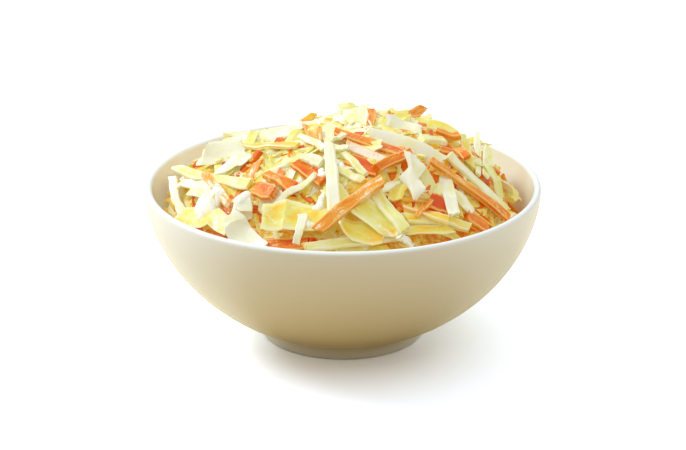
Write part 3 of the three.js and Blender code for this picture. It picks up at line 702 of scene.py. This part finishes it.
def lay_piece(field, piece, cap):
    """Lay a piece on the heap and raise the field under it. Returns its corners and fibre, or None.

    Where the wall is in its way it moves inwards and shrinks a little. cap is the height that its back
    may not pass: it is pressed down by as much as it gives way, and left out beyond that.
    """
    placed = SimpleNamespace(**vars(piece))
    shape = leaf_corners if piece.kind in SHEETS else strip_corners
    for _ in range(LAY_TRIES):
        line = resting_line(field, placed)
        above = (line.z + placed.thickness / 2 - cap(line.x, line.y)).mean()
        if above > placed.give_way:
            return None
        line.z -= max(above, 0)
        corners, fibre = shape(line, placed)
        over = max(corners[:, 2].max() - HEAP.ceiling, 0)
        corners[:, 2] -= over
        line.z -= over
        room = inner_radius_at(corners[:, 2] - WALL_CLEARANCE) - WALL_CLEARANCE
        excess = (np.hypot(corners[:, 0], corners[:, 1]) - room).max()
        if excess <= 0:
            mark_field(field, line, placed)
            return corners, fibre
        inward = 1 - min(excess + STEP_IN, 60) / max(math.hypot(placed.x, placed.y), 1)
        placed.x, placed.y = placed.x * inward, placed.y * inward
        placed.length *= SHRINK
    return None


def mark_field(field, line, piece):
    """Raise the field to the piece's back, sampled finely along and across it."""
    fine = np.linspace(0, len(line.u) - 1, 6 * len(line.u))
    steps = np.arange(len(line.u))
    x, y, z, side, tilt = (np.interp(fine, steps, v) for v in (line.x, line.y, line.z, line.side, line.tilt))
    across = np.linspace(-0.5, 0.5, 2 + int(piece.width / 0.5)) * piece.width
    height = (z + piece.thickness / 2)[:, None] + across * tilt[:, None]
    field.raise_to(*beside(x, y, side, across), height)


# ---- Heap: the whole tangle -----------------------------------------------------------------------
def cut_piece(kind, draws, **plan):
    """A piece of a kind, with its sizes, bend and tone drawn at random. plan overrides what is drawn."""
    ranges = KINDS[kind]
    turn = math.radians(ranges["bend"])
    drawn = dict(
        kind=kind,
        stiff=ranges["stiff"],
        chamfer=ranges["chamfer"],
        wander=ranges["wander"],
        along=ranges["along"],
        around=7 if kind in SHEETS else 10,
        length=draws.uniform(*ranges["length"]),
        width=draws.uniform(*ranges["width"]),
        thickness=draws.uniform(*ranges["thickness"]),
        bend=draws.uniform(-turn, turn),
        heading=draws.uniform(0, np.pi),
        roll=draws.normal(0, 0.2),
        twist=draws.normal(0, 0.3),
        cut=draws.uniform(-0.7, 0.7),
        dip=draws.uniform(-0.5, 0.5),
        taper=draws.uniform(0.0, 0.3 if "carrot" in kind else 0.8),
        wedge=1.0 if "carrot" in kind else draws.uniform(0.45, 1.0),
        fold=draws.uniform(-0.35, 0.35),
        kink=draws.uniform(-0.3, 0.3),
        wave=draws.uniform(0.1, 0.35),
        tone=draws.uniform(0, 1),
        tone_slope=draws.uniform(-0.4, 0.4),
        lifts=(max(draws.normal(-1.0, 1.2), 0), max(draws.normal(-1.0, 1.2), 0)),
        sink=SINK,
        give_way=2.0,
        rim=0.75,
        grain=draws.uniform(0, 400),
        seed=draws.randint(1 << 30),
    )
    drawn.update(plan)
    return SimpleNamespace(**drawn)


def named_pieces(draws):
    """The pieces that stand out, finely divided."""
    pieces = []
    for name, kind, x0, y0, x1, y1, width, lift0, lift1, bend, tone in NAMED_SHREDS:
        lean = math.radians(LEANING.get(name, 0))
        pieces.append(
            cut_piece(
                kind,
                draws,
                x=(x0 + x1) / 2,
                y=(y0 + y1) / 2,
                heading=math.atan2(y1 - y0, x1 - x0),
                length=math.hypot(x1 - x0, y1 - y0),
                width=width,
                lifts=(lift0, lift1),
                bend=math.radians(bend),
                tone=tone,
                tone_slope=draws.uniform(-0.2, 0.2),
                roll=draws.normal(0, 0.08) + math.copysign(lean, x1 - x0),
                sink=SINK - 0.6 * width / 2 * math.sin(lean),
                twist=draws.normal(0, 0.12),
                taper=draws.uniform(0, 0.25),
                stiff=min(KINDS[kind]["stiff"], 0.8),
                wander=0.6 * KINDS[kind]["wander"] if kind in SHEETS else KINDS[kind]["wander"],
                fold=draws.uniform(-0.15, 0.15),
                kink=draws.uniform(-0.2, 0.2),
                wave=draws.uniform(0.05, 0.2),
                give_way=99,
                rim=1.0,
                along=14,
                around=9 if kind in SHEETS else 10,
            )
        )
    return pieces


def filler_cap(x, y, heap):
    """How high the fillers may reach: below the dome in front, where the named pieces come on top."""
    cap = dome_height(x, y, heap) + CAP_OVER_DOME
    for start, span, depth in CAP_FALLS:
        cap = cap - depth * np.clip((start - y) / span, 0, 1)
    return np.maximum(cap, wall_under(x, y, heap) + CAP_OVER_WALL)


def named_cap(x, y, heap, spare):
    """How high a named piece may reach."""
    return np.minimum(dome_height(x, y, heap) + spare, heap.peak / MM - BELOW_PEAK)


@functools.lru_cache(maxsize=None)
def laid_heap():
    """Lay every piece, lowest first.

    Returns the pieces by kind with their corners, the field, and the smoothed field under the named pieces.
    """
    heap = bpy.context.scene.coleslaw_heap
    draws = np.random.RandomState(heap.seed)
    named = named_pieces(draws)
    field = HeightField(heap)
    laid = {kind: [] for kind in KINDS}
    middles = np.empty((0, 2))
    for k in range(heap.filler_count):
        radius = HEAP.filler_reach * np.sqrt(draws.uniform(0, 1, CHOICES))
        angle = draws.uniform(0, 2 * np.pi, CHOICES)
        places = np.stack([radius * np.cos(angle), radius * np.sin(angle)], axis=-1)
        if k < heap.filler_count * LARGE_SHARE:
            mix = FILLER_MIX
            room = np.linalg.norm(places[:, None] - middles[-RECENT:], axis=-1).min(axis=1, initial=math.inf)
        else:
            mix = GAP_MIX
            room = filler_cap(*places.T, heap) - field.at(*places.T)
        x, y = places[np.argmax(room)]
        middles = np.vstack([middles, [x, y]])
        piece = cut_piece(mix[k % len(mix)], draws, x=x, y=y)
        if math.hypot(x, y) > ALONG_WALL:
            piece.heading = math.atan2(y, x) + math.pi / 2 + draws.normal(0, ALONG_WALL_SPREAD)
        # painted shade: a filler's tone deepens with how far it lies below the dome
        depth = dome_height(x, y, heap) - field.at(x, y)
        share = SHEET_TONE if piece.kind in SHEETS else STRIP_TONE
        piece.tone = share * piece.tone + PAINTED_DEPTH_SHADE * float(depth)
        result = lay_piece(field, piece, lambda a, b: filler_cap(a, b, heap))
        if result:
            laid[piece.kind].append((piece, *result))
    under = field.smoothed(2.2)
    for k, piece in enumerate(named):
        spare = NAMED_SPARE + (0 if piece.kind in SHEETS else NAMED_STACK * (k / len(named)) ** 2)
        result = lay_piece(field, piece, lambda a, b: named_cap(a, b, heap, spare))
        if result:
            laid[piece.kind].append((piece, *result))
    return laid, field, under


def joined_pieces(name, kinds, smooth_angle):
    """One object from all laid pieces of some kinds."""
    laid = laid_heap()[0]
    corners, faces, fibres, count = [], [], [], 0
    for kind in kinds:
        for piece, places, fibre in laid[kind]:
            own_faces = leaf_faces(piece) if kind in SHEETS else strip_faces(piece)
            corners.append(places)
            fibres.append(fibre)
            faces.append(own_faces + count)
            count += len(places)
    corners, faces, fibres = (np.concatenate(parts) for parts in (corners, faces, fibres))
    return new_mesh(name, corners, faces.tolist(), smooth_angle, fibres)


def dressing_blobs(field, heap):
    """Corners and faces of drops of dressing that lie in the hollows between the pieces.

    A drop is a disc whose radius swells and shrinks with the angle. Its height is the smoothed heap plus
    a rise that falls off with the square of the distance from its middle.
    """
    draws = np.random.RandomState(heap.seed + 1)
    rings, around = 7, 18
    count = len(DRESSING) + heap.drop_count
    x, y = draws.normal(DROP.middle, DROP.spread, (2, count, 6))
    hollow = (field.smoothed(3.0).at(x, y) - field.at(x, y)).argmax(axis=1)
    x, y = x[np.arange(count), hollow], y[np.arange(count), hollow]
    radius, rise = draws.uniform(*DROP.radius, count), draws.uniform(*DROP.rise, count)
    large = slice(len(DRESSING))
    for drawn, given in zip((x, y, radius, rise), np.array(DRESSING).T):
        drawn[large] = given
    kept = np.hypot(x, y) + 1.3 * radius < HEAP.filler_reach - DROP.margin
    kept[large] = True
    x, y, radius, rise = (v[kept, None, None] for v in (x, y, radius, rise))
    phase = draws.uniform(0, 2 * np.pi, (3, len(x), 1, 1))
    angle = (2 * np.pi * np.arange(around) / around)[None, None]
    lobes = 1
    for swell, lobe_count, start in zip((0.3, 0.2, 0.1), (2, 3, 5), phase):
        lobes = lobes + swell * np.sin(lobe_count * angle + start)
    share = np.linspace(0, 1, rings)[None, :, None]
    px, py = x + radius * share * lobes * np.cos(angle), y + radius * share * lobes * np.sin(angle)
    ground = field.smoothed(1.0).at(px, py)
    top = ground + rise * (1 - share**2) - DROP_SINK * share**4
    below = ground - DROP.depth - DROP.belly * (1 - share**2)
    below = np.where(share == 1, top, below)
    sheets = ((px, px), (py, py), (top, below))
    corners = np.stack([np.concatenate([a, b[:, -2::-1]], axis=1) for a, b in sheets], axis=-1)
    faces = grid_faces(2 * rings - 1, around, closed=True)[:, ::-1]
    starts = np.arange(len(corners)) * (2 * rings - 1) * around
    return corners.reshape(-1, 3), (faces[None] + starts[:, None, None]).reshape(-1, 4)


# ---- Materials ------------------------------------------------------------------------------------
PAINTED_GLOW = 0.1  # painted glow: an emission that stands for the light that passes on through many thin wet pieces


def object_place(tree):
    """The socket of a point's place in its object."""
    return add_node(tree, "ShaderNodeTexCoord").outputs["Object"]


def noise(tree, vector, scale, detail, **more):
    """The socket of a noise texture."""
    inputs = {"Vector": vector, "Scale": scale, "Detail": detail, **more}
    return add_node(tree, "ShaderNodeTexNoise", inputs).outputs["Fac"]


def maths(tree, operation, *values, clamp=False):
    """The socket of an operation on values and sockets."""
    inputs = dict(enumerate(values))
    return add_node(tree, "ShaderNodeMath", inputs, operation=operation, use_clamp=clamp).outputs[0]


def scaled(tree, vector, factors):
    """The socket of a vector multiplied axis by axis."""
    return add_node(tree, "ShaderNodeVectorMath", {0: vector, 1: factors}, operation="MULTIPLY").outputs[0]


def ranged(tree, value, start, end, low=0.0, high=1.0, smooth=False):
    """The socket of a value mapped from start and end to low and high."""
    inputs = {"Value": value, "From Min": start, "From Max": end, "To Min": low, "To Max": high}
    course = "SMOOTHSTEP" if smooth else "LINEAR"
    return add_node(tree, "ShaderNodeMapRange", inputs, interpolation_type=course).outputs[0]


def mixed(tree, share, first, second):
    """The socket of a colour between two."""
    return add_node(tree, "ShaderNodeMix", {0: share, 6: first, 7: second}, data_type="RGBA").outputs[2]


def surface(material, tree, height, strength, distance, inputs):
    """End a material in a Principled shader, with the height as its bump."""
    bump = add_node(tree, "ShaderNodeBump", {"Height": height, "Strength": strength, "Distance": distance})
    shader = add_node(tree, "ShaderNodeBsdfPrincipled", {**inputs, "Normal": bump.outputs["Normal"]})
    add_node(tree, "ShaderNodeOutputMaterial", {"Surface": shader.outputs["BSDF"]})
    return material


def glazed_porcelain(colour):
    """White porcelain under a clear glaze, fired glossy: smooth, soft-edged reflections."""
    material, tree = new_material("glazed_porcelain")
    ripple = noise(tree, object_place(tree), 22.0, 2.0)
    look = {
        "Base Color": (*colour, 1.0),
        "Roughness": 0.28,
        "IOR": 1.5,
        "Coat Weight": 0.5,
        "Coat Roughness": 0.08,
    }
    return surface(material, tree, ripple, 0.04, 0.002, look)


def dressed_vegetable(name, stops, look):
    """Cut vegetable wet with dressing: fibres run along each piece, a pale film lies over part of it, and it
    has a painted glow.

    The ramp runs from the palest tone to the deepest. Cut edges are paler than the faces between them, partly
    their own paler cut and partly a painted highlight.
    look holds the film's share and colour, the edges' share and colour and where across the piece they
    begin, the fibres' fineness along and across, tone and depth, and how far light travels inside, in
    millimetres for red, green and blue.
    """
    material, tree = new_material(name)
    fibre = add_node(tree, "ShaderNodeAttribute", attribute_name="fibre").outputs["Vector"]
    parts = add_node(tree, "ShaderNodeSeparateXYZ", {"Vector": fibre}).outputs
    threads = noise(tree, scaled(tree, fibre, look["fibres"]), 1.0, 3.0, Roughness=0.65)
    clouds = noise(tree, scaled(tree, fibre, (0.14, 0.9, 0.0)), 1.0, 2.0)
    tone = maths(tree, "MULTIPLY_ADD", clouds, look["blotch"], parts["Z"])
    tone = maths(tree, "MULTIPLY_ADD", threads, look["fibre_tone"], tone)
    tone = maths(tree, "SUBTRACT", tone, (look["blotch"] + look["fibre_tone"]) / 2, clamp=True)
    flesh = add_node(tree, "ShaderNodeValToRGB", {"Fac": tone}, stops=stops).outputs["Color"]
    across = maths(tree, "ABSOLUTE", parts["Y"])
    # the paler cut edges: partly the cut's own paler colour, partly a painted highlight along the edges
    pale_edge_and_highlight = ranged(tree, across, look["edge_from"], 1.0, high=look["edge_share"], smooth=True)
    flesh = mixed(tree, pale_edge_and_highlight, flesh, linear(look["edge"]))
    place = object_place(tree)
    smear = noise(tree, place, 120.0, 3.0, Roughness=0.6, Distortion=0.8)
    side = add_node(tree, "ShaderNodeSeparateXYZ", {"Vector": place}).outputs["X"]
    wet = maths(tree, "MULTIPLY_ADD", side, -0.7, smear)
    wet = maths(tree, "MULTIPLY_ADD", noise(tree, place, 1100.0, 2.0), look["specks"], wet)
    thin = 0.66 - 0.3 * look["film_share"] + look["specks"] / 2
    film = ranged(tree, wet, thin, thin + 0.16, high=0.85, smooth=True)
    # painted shade: the pale film thins on pieces of deep tone, so that the gaps deep in the heap show less
    # of it
    shallow = ranged(tree, parts["Z"], 0.45, 1.0, low=1.0, high=0.2)
    colour = mixed(tree, maths(tree, "MULTIPLY", film, shallow), flesh, linear(look["film"]))
    relief = maths(tree, "MULTIPLY_ADD", threads, look["fibre_depth"], noise(tree, place, 420.0, 1.0))
    inputs = {
        "Base Color": colour,
        "Roughness": 0.4,
        "IOR": 1.38,
        "Subsurface Weight": 0.35,
        "Subsurface Radius": look["depth"],
        "Subsurface Scale": MM,
        # painted glow: the piece emits its own colour, standing for light that passes through the pieces
        "Emission Color": colour,
        "Emission Strength": PAINTED_GLOW,
        "Coat Weight": look["gloss"],
        "Coat Roughness": 0.16,
    }
    return surface(material, tree, relief, 0.3, 0.0005, inputs)


def ramp(*stops):
    """The stops of a colour ramp, from places and hex colours."""
    return [(place, linear(colour)) for place, colour in stops]


def white_cabbage():
    """Shredded white cabbage: near white at the rib, yellow-green towards the leaf and deeper yellow deeper
    in the heap as painted shade, wet and translucent.
    """
    stops = ramp((0.0, "f0eed6"), (0.3, "ebe69c"), (0.55, "e8db66"), (0.8, "f0c83c"), (1.0, "f2b428"))
    look = dict(
        film="f6f1dc", film_share=0.22, edge="f7f3d8", edge_share=0.5, edge_from=0.6,
        fibres=(0.16, 3.2, 0.0), fibre_tone=0.7, fibre_depth=0.6, blotch=1.2, specks=0.35,
        gloss=0.4, depth=(1.0, 1.0, 0.8),
    )
    return dressed_vegetable("white_cabbage", stops, look)


def raw_carrot():
    """Shredded raw carrot: orange with paler cut edges that are partly a painted highlight, darker deeper in
    the heap as painted shade, wet.
    """
    stops = ramp((0.0, "f6e8d4"), (0.12, "f2b04a"), (0.35, "ee951c"), (0.65, "e87806"), (1.0, "da5202"))
    look = dict(
        film="f6cf88", film_share=0.2, edge="f9c870", edge_share=0.8, edge_from=0.72,
        fibres=(1.6, 3.0, 0.0), fibre_tone=0.8, fibre_depth=2.0, blotch=1.5, specks=0.8,
        gloss=0.06, depth=(1.0, 0.7, 0.4),
    )
    return dressed_vegetable("raw_carrot", stops, look)


def soaked_core():
    """The tangle below the shreds that show, soaked in dressing: warm yellow with orange patches, partly the
    shreds' own colour and partly painted light that gathers in the gaps.
    """
    material, tree = new_material("soaked_tangle")
    place = object_place(tree)
    patches = noise(tree, place, 240.0, 4.0, Roughness=0.6, Distortion=1.2)
    side = add_node(tree, "ShaderNodeSeparateXYZ", {"Vector": place}).outputs["X"]
    spread = maths(tree, "MULTIPLY_ADD", side, 1.0, patches)
    stops = ramp((0.34, "ece29c"), (0.46, "ead25a"), (0.56, "eaac3c"), (0.68, "dc7020"))
    colour = add_node(tree, "ShaderNodeValToRGB", {"Fac": spread}, stops=stops).outputs["Color"]
    # painted glow: the core emits its own colour, standing for light that passes through the shreds into the
    # gaps
    look = {"Base Color": colour, "Emission Color": colour, "Emission Strength": 1.5 * PAINTED_GLOW, "Roughness": 0.4}
    return surface(material, tree, patches, 0.6, 0.003, look)


def mayonnaise():
    """Mayonnaise dressing: an opaque cream emulsion with a soft wet gloss, and a painted glow."""
    material, tree = new_material("mayonnaise")
    cream = linear("f8f6e6")
    look = {
        "Base Color": cream,
        # painted glow: the dressing emits its own cream colour
        "Emission Color": cream,
        "Emission Strength": 2 * PAINTED_GLOW,
        "Roughness": 0.3,
        "IOR": 1.45,
        "Subsurface Weight": 0.5,
        "Subsurface Radius": (1.0, 0.9, 0.7),
        "Subsurface Scale": 0.003,
        "Coat Weight": 0.3,
        "Coat Roughness": 0.1,
    }
    return surface(material, tree, noise(tree, object_place(tree), 160.0, 2.0), 0.3, 0.001, look)


# ---- Stage ----------------------------------------------------------------------------------------
# The light from the walls on the left and right, from overhead, and from the dark warm card in front.
LEFT_WALL, RIGHT_WALL = (0.5, 0.525, 0.51, 1.0), (0.51, 0.52, 0.49, 1.0)
OVERHEAD, CARD = (0.92, 0.97, 0.99, 1.0), (0.29, 0.23, 0.11, 1.0)
# The floor and the sky as the camera sees them, brighter than white.
FLOOR_SEEN, SKY_SEEN = (1.45, 1.5, 1.66, 1.0), (1.2, 1.2, 1.2, 1)
FLOOR_LIGHT = (1.83, 1.58, 1.22)  # the factors from the studio's tint to the floor's colour
FLOOR_REACH, FLOOR_LEVEL = 4000, -0.2
KEY = SimpleNamespace(place=(-0.95, 0.35, 0.95), aim=(0, 0, 0.04), size=0.7, colour=(0.91, 0.97, 1.06))
# The camera circles the point aim_height above the foot, and looks aim_up degrees above it.
CAMERA = SimpleNamespace(sensor=36.0, lens=123.1, aim_height=0.0302, aim_up=0.716)


def studio_tint(tree, direction):
    """The light that the studio's walls and table send from a direction, as a socket.

    The walls are about even all round and the light from overhead is the brightest. A dark warm card stands
    low in front, except at the far left.
    """
    unit = add_node(tree, "ShaderNodeVectorMath", {0: direction}, operation="NORMALIZE").outputs[0]
    parts = add_node(tree, "ShaderNodeSeparateXYZ", {"Vector": unit}).outputs
    right = ranged(tree, parts["X"], -0.15, 0.7)
    front = ranged(tree, parts["Y"], -0.3, -0.85, smooth=True)
    low = ranged(tree, parts["Z"], 0.7, 0.25)
    card = maths(tree, "MULTIPLY", front, low)
    card = maths(tree, "MULTIPLY", card, ranged(tree, parts["X"], -0.95, -0.7))
    high = ranged(tree, parts["Z"], 0.1, 0.5)
    lit = mixed(tree, high, mixed(tree, right, LEFT_WALL, RIGHT_WALL), OVERHEAD)
    return mixed(tree, card, lit, CARD)


# ---- Operators ------------------------------------------------------------------------------------
def put_in_heap(made, material):
    """Give a piece its material and let it stand for the coleslaw."""
    made.data.materials.append(material)
    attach(made, "root")
    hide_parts("coleslaw")
    return {"FINISHED"}


class COLESLAW_OT_bowl(bpy.types.Operator):
    """Turn the porcelain bowl"""

    bl_idname = "coleslaw.bowl"
    bl_label = "Porcelain bowl"

    def execute(self, context):
        corners, faces = turned_surface(bowl_profile(), 192)
        bowl = new_mesh("porcelain_bowl", corners, faces, smooth_angle=50)
        bowl.data.materials.append(glazed_porcelain(context.scene.coleslaw_bowl.glaze))
        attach(bowl, "root")
        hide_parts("bowl")
        return {"FINISHED"}


class COLESLAW_OT_core(bpy.types.Operator):
    """Make the soaked core that fills the bowl up to just under the shreds that show"""

    bl_idname = "coleslaw.core"
    bl_label = "Soaked core"

    def execute(self, context):
        under = laid_heap()[2]
        side = inner_profile(GLAZE_GAP, CORE.side_steps)[::-1]
        side = side[side[:, 1] < CORE.rim - 0.5]
        top_radius = float(inner_radius_at(CORE.rim)) - GLAZE_GAP
        top = np.stack([top_radius * np.linspace(1, 0, CORE.rings), np.full(CORE.rings, CORE.rim)], axis=-1)
        corners, faces = turned_surface(np.concatenate([side, top]), CORE.segments)
        x, y, z = corners.T
        lowest = wall_height(x, y) + CORE.over_wall
        height = np.maximum(under.at(x, y) - CORE.sink + fine_relief(x, y), lowest)
        blend = np.clip((top_radius - np.hypot(x, y)) / CORE.blend, 0, 1)
        corners[:, 2] = np.where(z >= CORE.rim - 1e-6, CORE.rim + (height - CORE.rim) * blend, z)
        return put_in_heap(new_mesh("soaked_core", corners, faces), soaked_core())


class COLESLAW_OT_cabbage_shreds(bpy.types.Operator):
    """Lay the cabbage shreds and the thicker ribs"""

    bl_idname = "coleslaw.cabbage_shreds"
    bl_label = "Cabbage shreds"

    def execute(self, context):
        made = joined_pieces("cabbage_shreds", ("shred", "thread", "rib", "bit"), smooth_angle=30)
        return put_in_heap(made, white_cabbage())


class COLESLAW_OT_cabbage_leaf(bpy.types.Operator):
    """Lay the pieces of cabbage leaf"""

    bl_idname = "coleslaw.cabbage_leaf"
    bl_label = "Cabbage leaf pieces"

    def execute(self, context):
        made = joined_pieces("cabbage_leaf_pieces", SHEETS, smooth_angle=18)
        return put_in_heap(made, bpy.data.materials["white_cabbage"])


class COLESLAW_OT_carrot(bpy.types.Operator):
    """Lay the carrot batons and fine carrot shreds"""

    bl_idname = "coleslaw.carrot"
    bl_label = "Carrot"

    def execute(self, context):
        made = joined_pieces("carrot_shreds", ("carrot", "fine_carrot"), smooth_angle=30)
        return put_in_heap(made, raw_carrot())


class COLESLAW_OT_dressing(bpy.types.Operator):
    """Drip the mayonnaise dressing between the pieces"""

    bl_idname = "coleslaw.dressing"
    bl_label = "Dressing"

    def execute(self, context):
        corners, faces = dressing_blobs(laid_heap()[1], context.scene.coleslaw_heap)
        return put_in_heap(new_mesh("mayonnaise_dressing", corners, faces.tolist()), mayonnaise())


class COLESLAW_OT_stage(bpy.types.Operator):
    """Set the floor, the soft studio light and the camera"""

    bl_idname = "coleslaw.stage"
    bl_label = "Stage"

    def execute(self, context):
        settings = context.scene.coleslaw_stage
        self.lay_floor()
        self.light_sky(context)
        self.hang_key(context, settings)
        self.set_camera(context, settings)
        context.scene.view_settings.view_transform = "Standard"
        return {"FINISHED"}

    def lay_floor(self):
        ways = ((-1, -1), (1, -1), (1, 1), (-1, 1))
        corners = np.array([[FLOOR_REACH * x, FLOOR_REACH * y, FLOOR_LEVEL] for x, y in ways])
        floor = new_mesh("studio_floor", corners, [(0, 1, 2, 3)])
        material, tree = new_material("pale_floor")
        light = scaled(tree, studio_tint(tree, object_place(tree)), FLOOR_LIGHT)
        seen = add_node(tree, "ShaderNodeBsdfDiffuse", {"Color": FLOOR_SEEN}).outputs[0]
        bounced = add_node(tree, "ShaderNodeBsdfDiffuse", {"Color": light}).outputs[0]
        camera_ray = add_node(tree, "ShaderNodeLightPath").outputs["Is Camera Ray"]
        either = add_node(tree, "ShaderNodeMixShader", {0: camera_ray, 1: bounced, 2: seen})
        add_node(tree, "ShaderNodeOutputMaterial", {"Surface": either.outputs[0]})
        floor.data.materials.append(material)

    def light_sky(self, context):
        world = bpy.data.worlds.new("studio_sky")
        world.use_nodes = True
        tree = world.node_tree
        tree.nodes.clear()
        direction = add_node(tree, "ShaderNodeTexCoord").outputs["Generated"]
        camera_ray = add_node(tree, "ShaderNodeLightPath").outputs["Is Camera Ray"]
        colour = mixed(tree, camera_ray, studio_tint(tree, direction), SKY_SEEN)
        light = add_node(tree, "ShaderNodeBackground", {"Color": colour, "Strength": 1.0})
        add_node(tree, "ShaderNodeOutputWorld", {"Surface": light.outputs[0]})
        context.scene.world = world

    def hang_key(self, context, settings):
        lamp = bpy.data.lights.new("soft_key", "AREA")
        lamp.shape = "DISK"
        lamp.size = KEY.size
        lamp.energy = settings.key_power
        lamp.color = KEY.colour
        key = bpy.data.objects.new("soft_key", lamp)
        key.location = KEY.place
        key.rotation_euler = (Vector(KEY.aim) - key.location).to_track_quat("-Z", "Y").to_euler()
        context.scene.collection.objects.link(key)

    def set_camera(self, context, settings):
        lens = bpy.data.cameras.new("studio_camera")
        lens.sensor_width = CAMERA.sensor
        lens.lens = CAMERA.lens
        camera = bpy.data.objects.new("studio_camera", lens)
        distance, elevation = settings.camera_distance, settings.camera_elevation
        height = CAMERA.aim_height + distance * math.sin(elevation)
        camera.location = (0, -distance * math.cos(elevation), height)
        camera.rotation_euler = (math.pi / 2 - elevation + math.radians(CAMERA.aim_up), 0, 0)
        context.scene.collection.objects.link(camera)
        context.scene.camera = camera


class COLESLAW_PT_panel(bpy.types.Panel):
    """The coleslaw's pieces, in the order in which they are made"""

    bl_label = "Coleslaw"
    bl_space_type = "VIEW_3D"
    bl_region_type = "UI"
    bl_category = "Coleslaw"

    def draw(self, context):
        layout = self.layout
        for setting in SETTINGS:
            group = getattr(context.scene, setting)
            for name in group.bl_rna.properties.keys():
                if name not in ("rna_type", "name"):
                    layout.prop(group, name)
        for operator in OPERATORS:
            layout.operator(operator.bl_idname)


SETTINGS = {"coleslaw_bowl": BowlSettings, "coleslaw_heap": HeapSettings, "coleslaw_stage": StageSettings}
OPERATORS = (
    COLESLAW_OT_bowl,
    COLESLAW_OT_core,
    COLESLAW_OT_cabbage_shreds,
    COLESLAW_OT_cabbage_leaf,
    COLESLAW_OT_carrot,
    COLESLAW_OT_dressing,
    COLESLAW_OT_stage,
)
CLASSES = (*SETTINGS.values(), *OPERATORS, COLESLAW_PT_panel)


def register():
    """Register the classes and hang the settings on the scene."""
    for cls in CLASSES:
        bpy.utils.register_class(cls)
    for name, group in SETTINGS.items():
        setattr(bpy.types.Scene, name, PointerProperty(type=group))


def unregister():
    """Take the settings and the classes away again."""
    for name in SETTINGS:
        delattr(bpy.types.Scene, name)
    for cls in reversed(CLASSES):
        bpy.utils.unregister_class(cls)


def main():
    """Register the add-on and make every piece in order."""
    register()
    for operator in OPERATORS:
        group, name = operator.bl_idname.split(".")
        getattr(getattr(bpy.ops, group), name)()


if __name__ == "__main__":
    main()
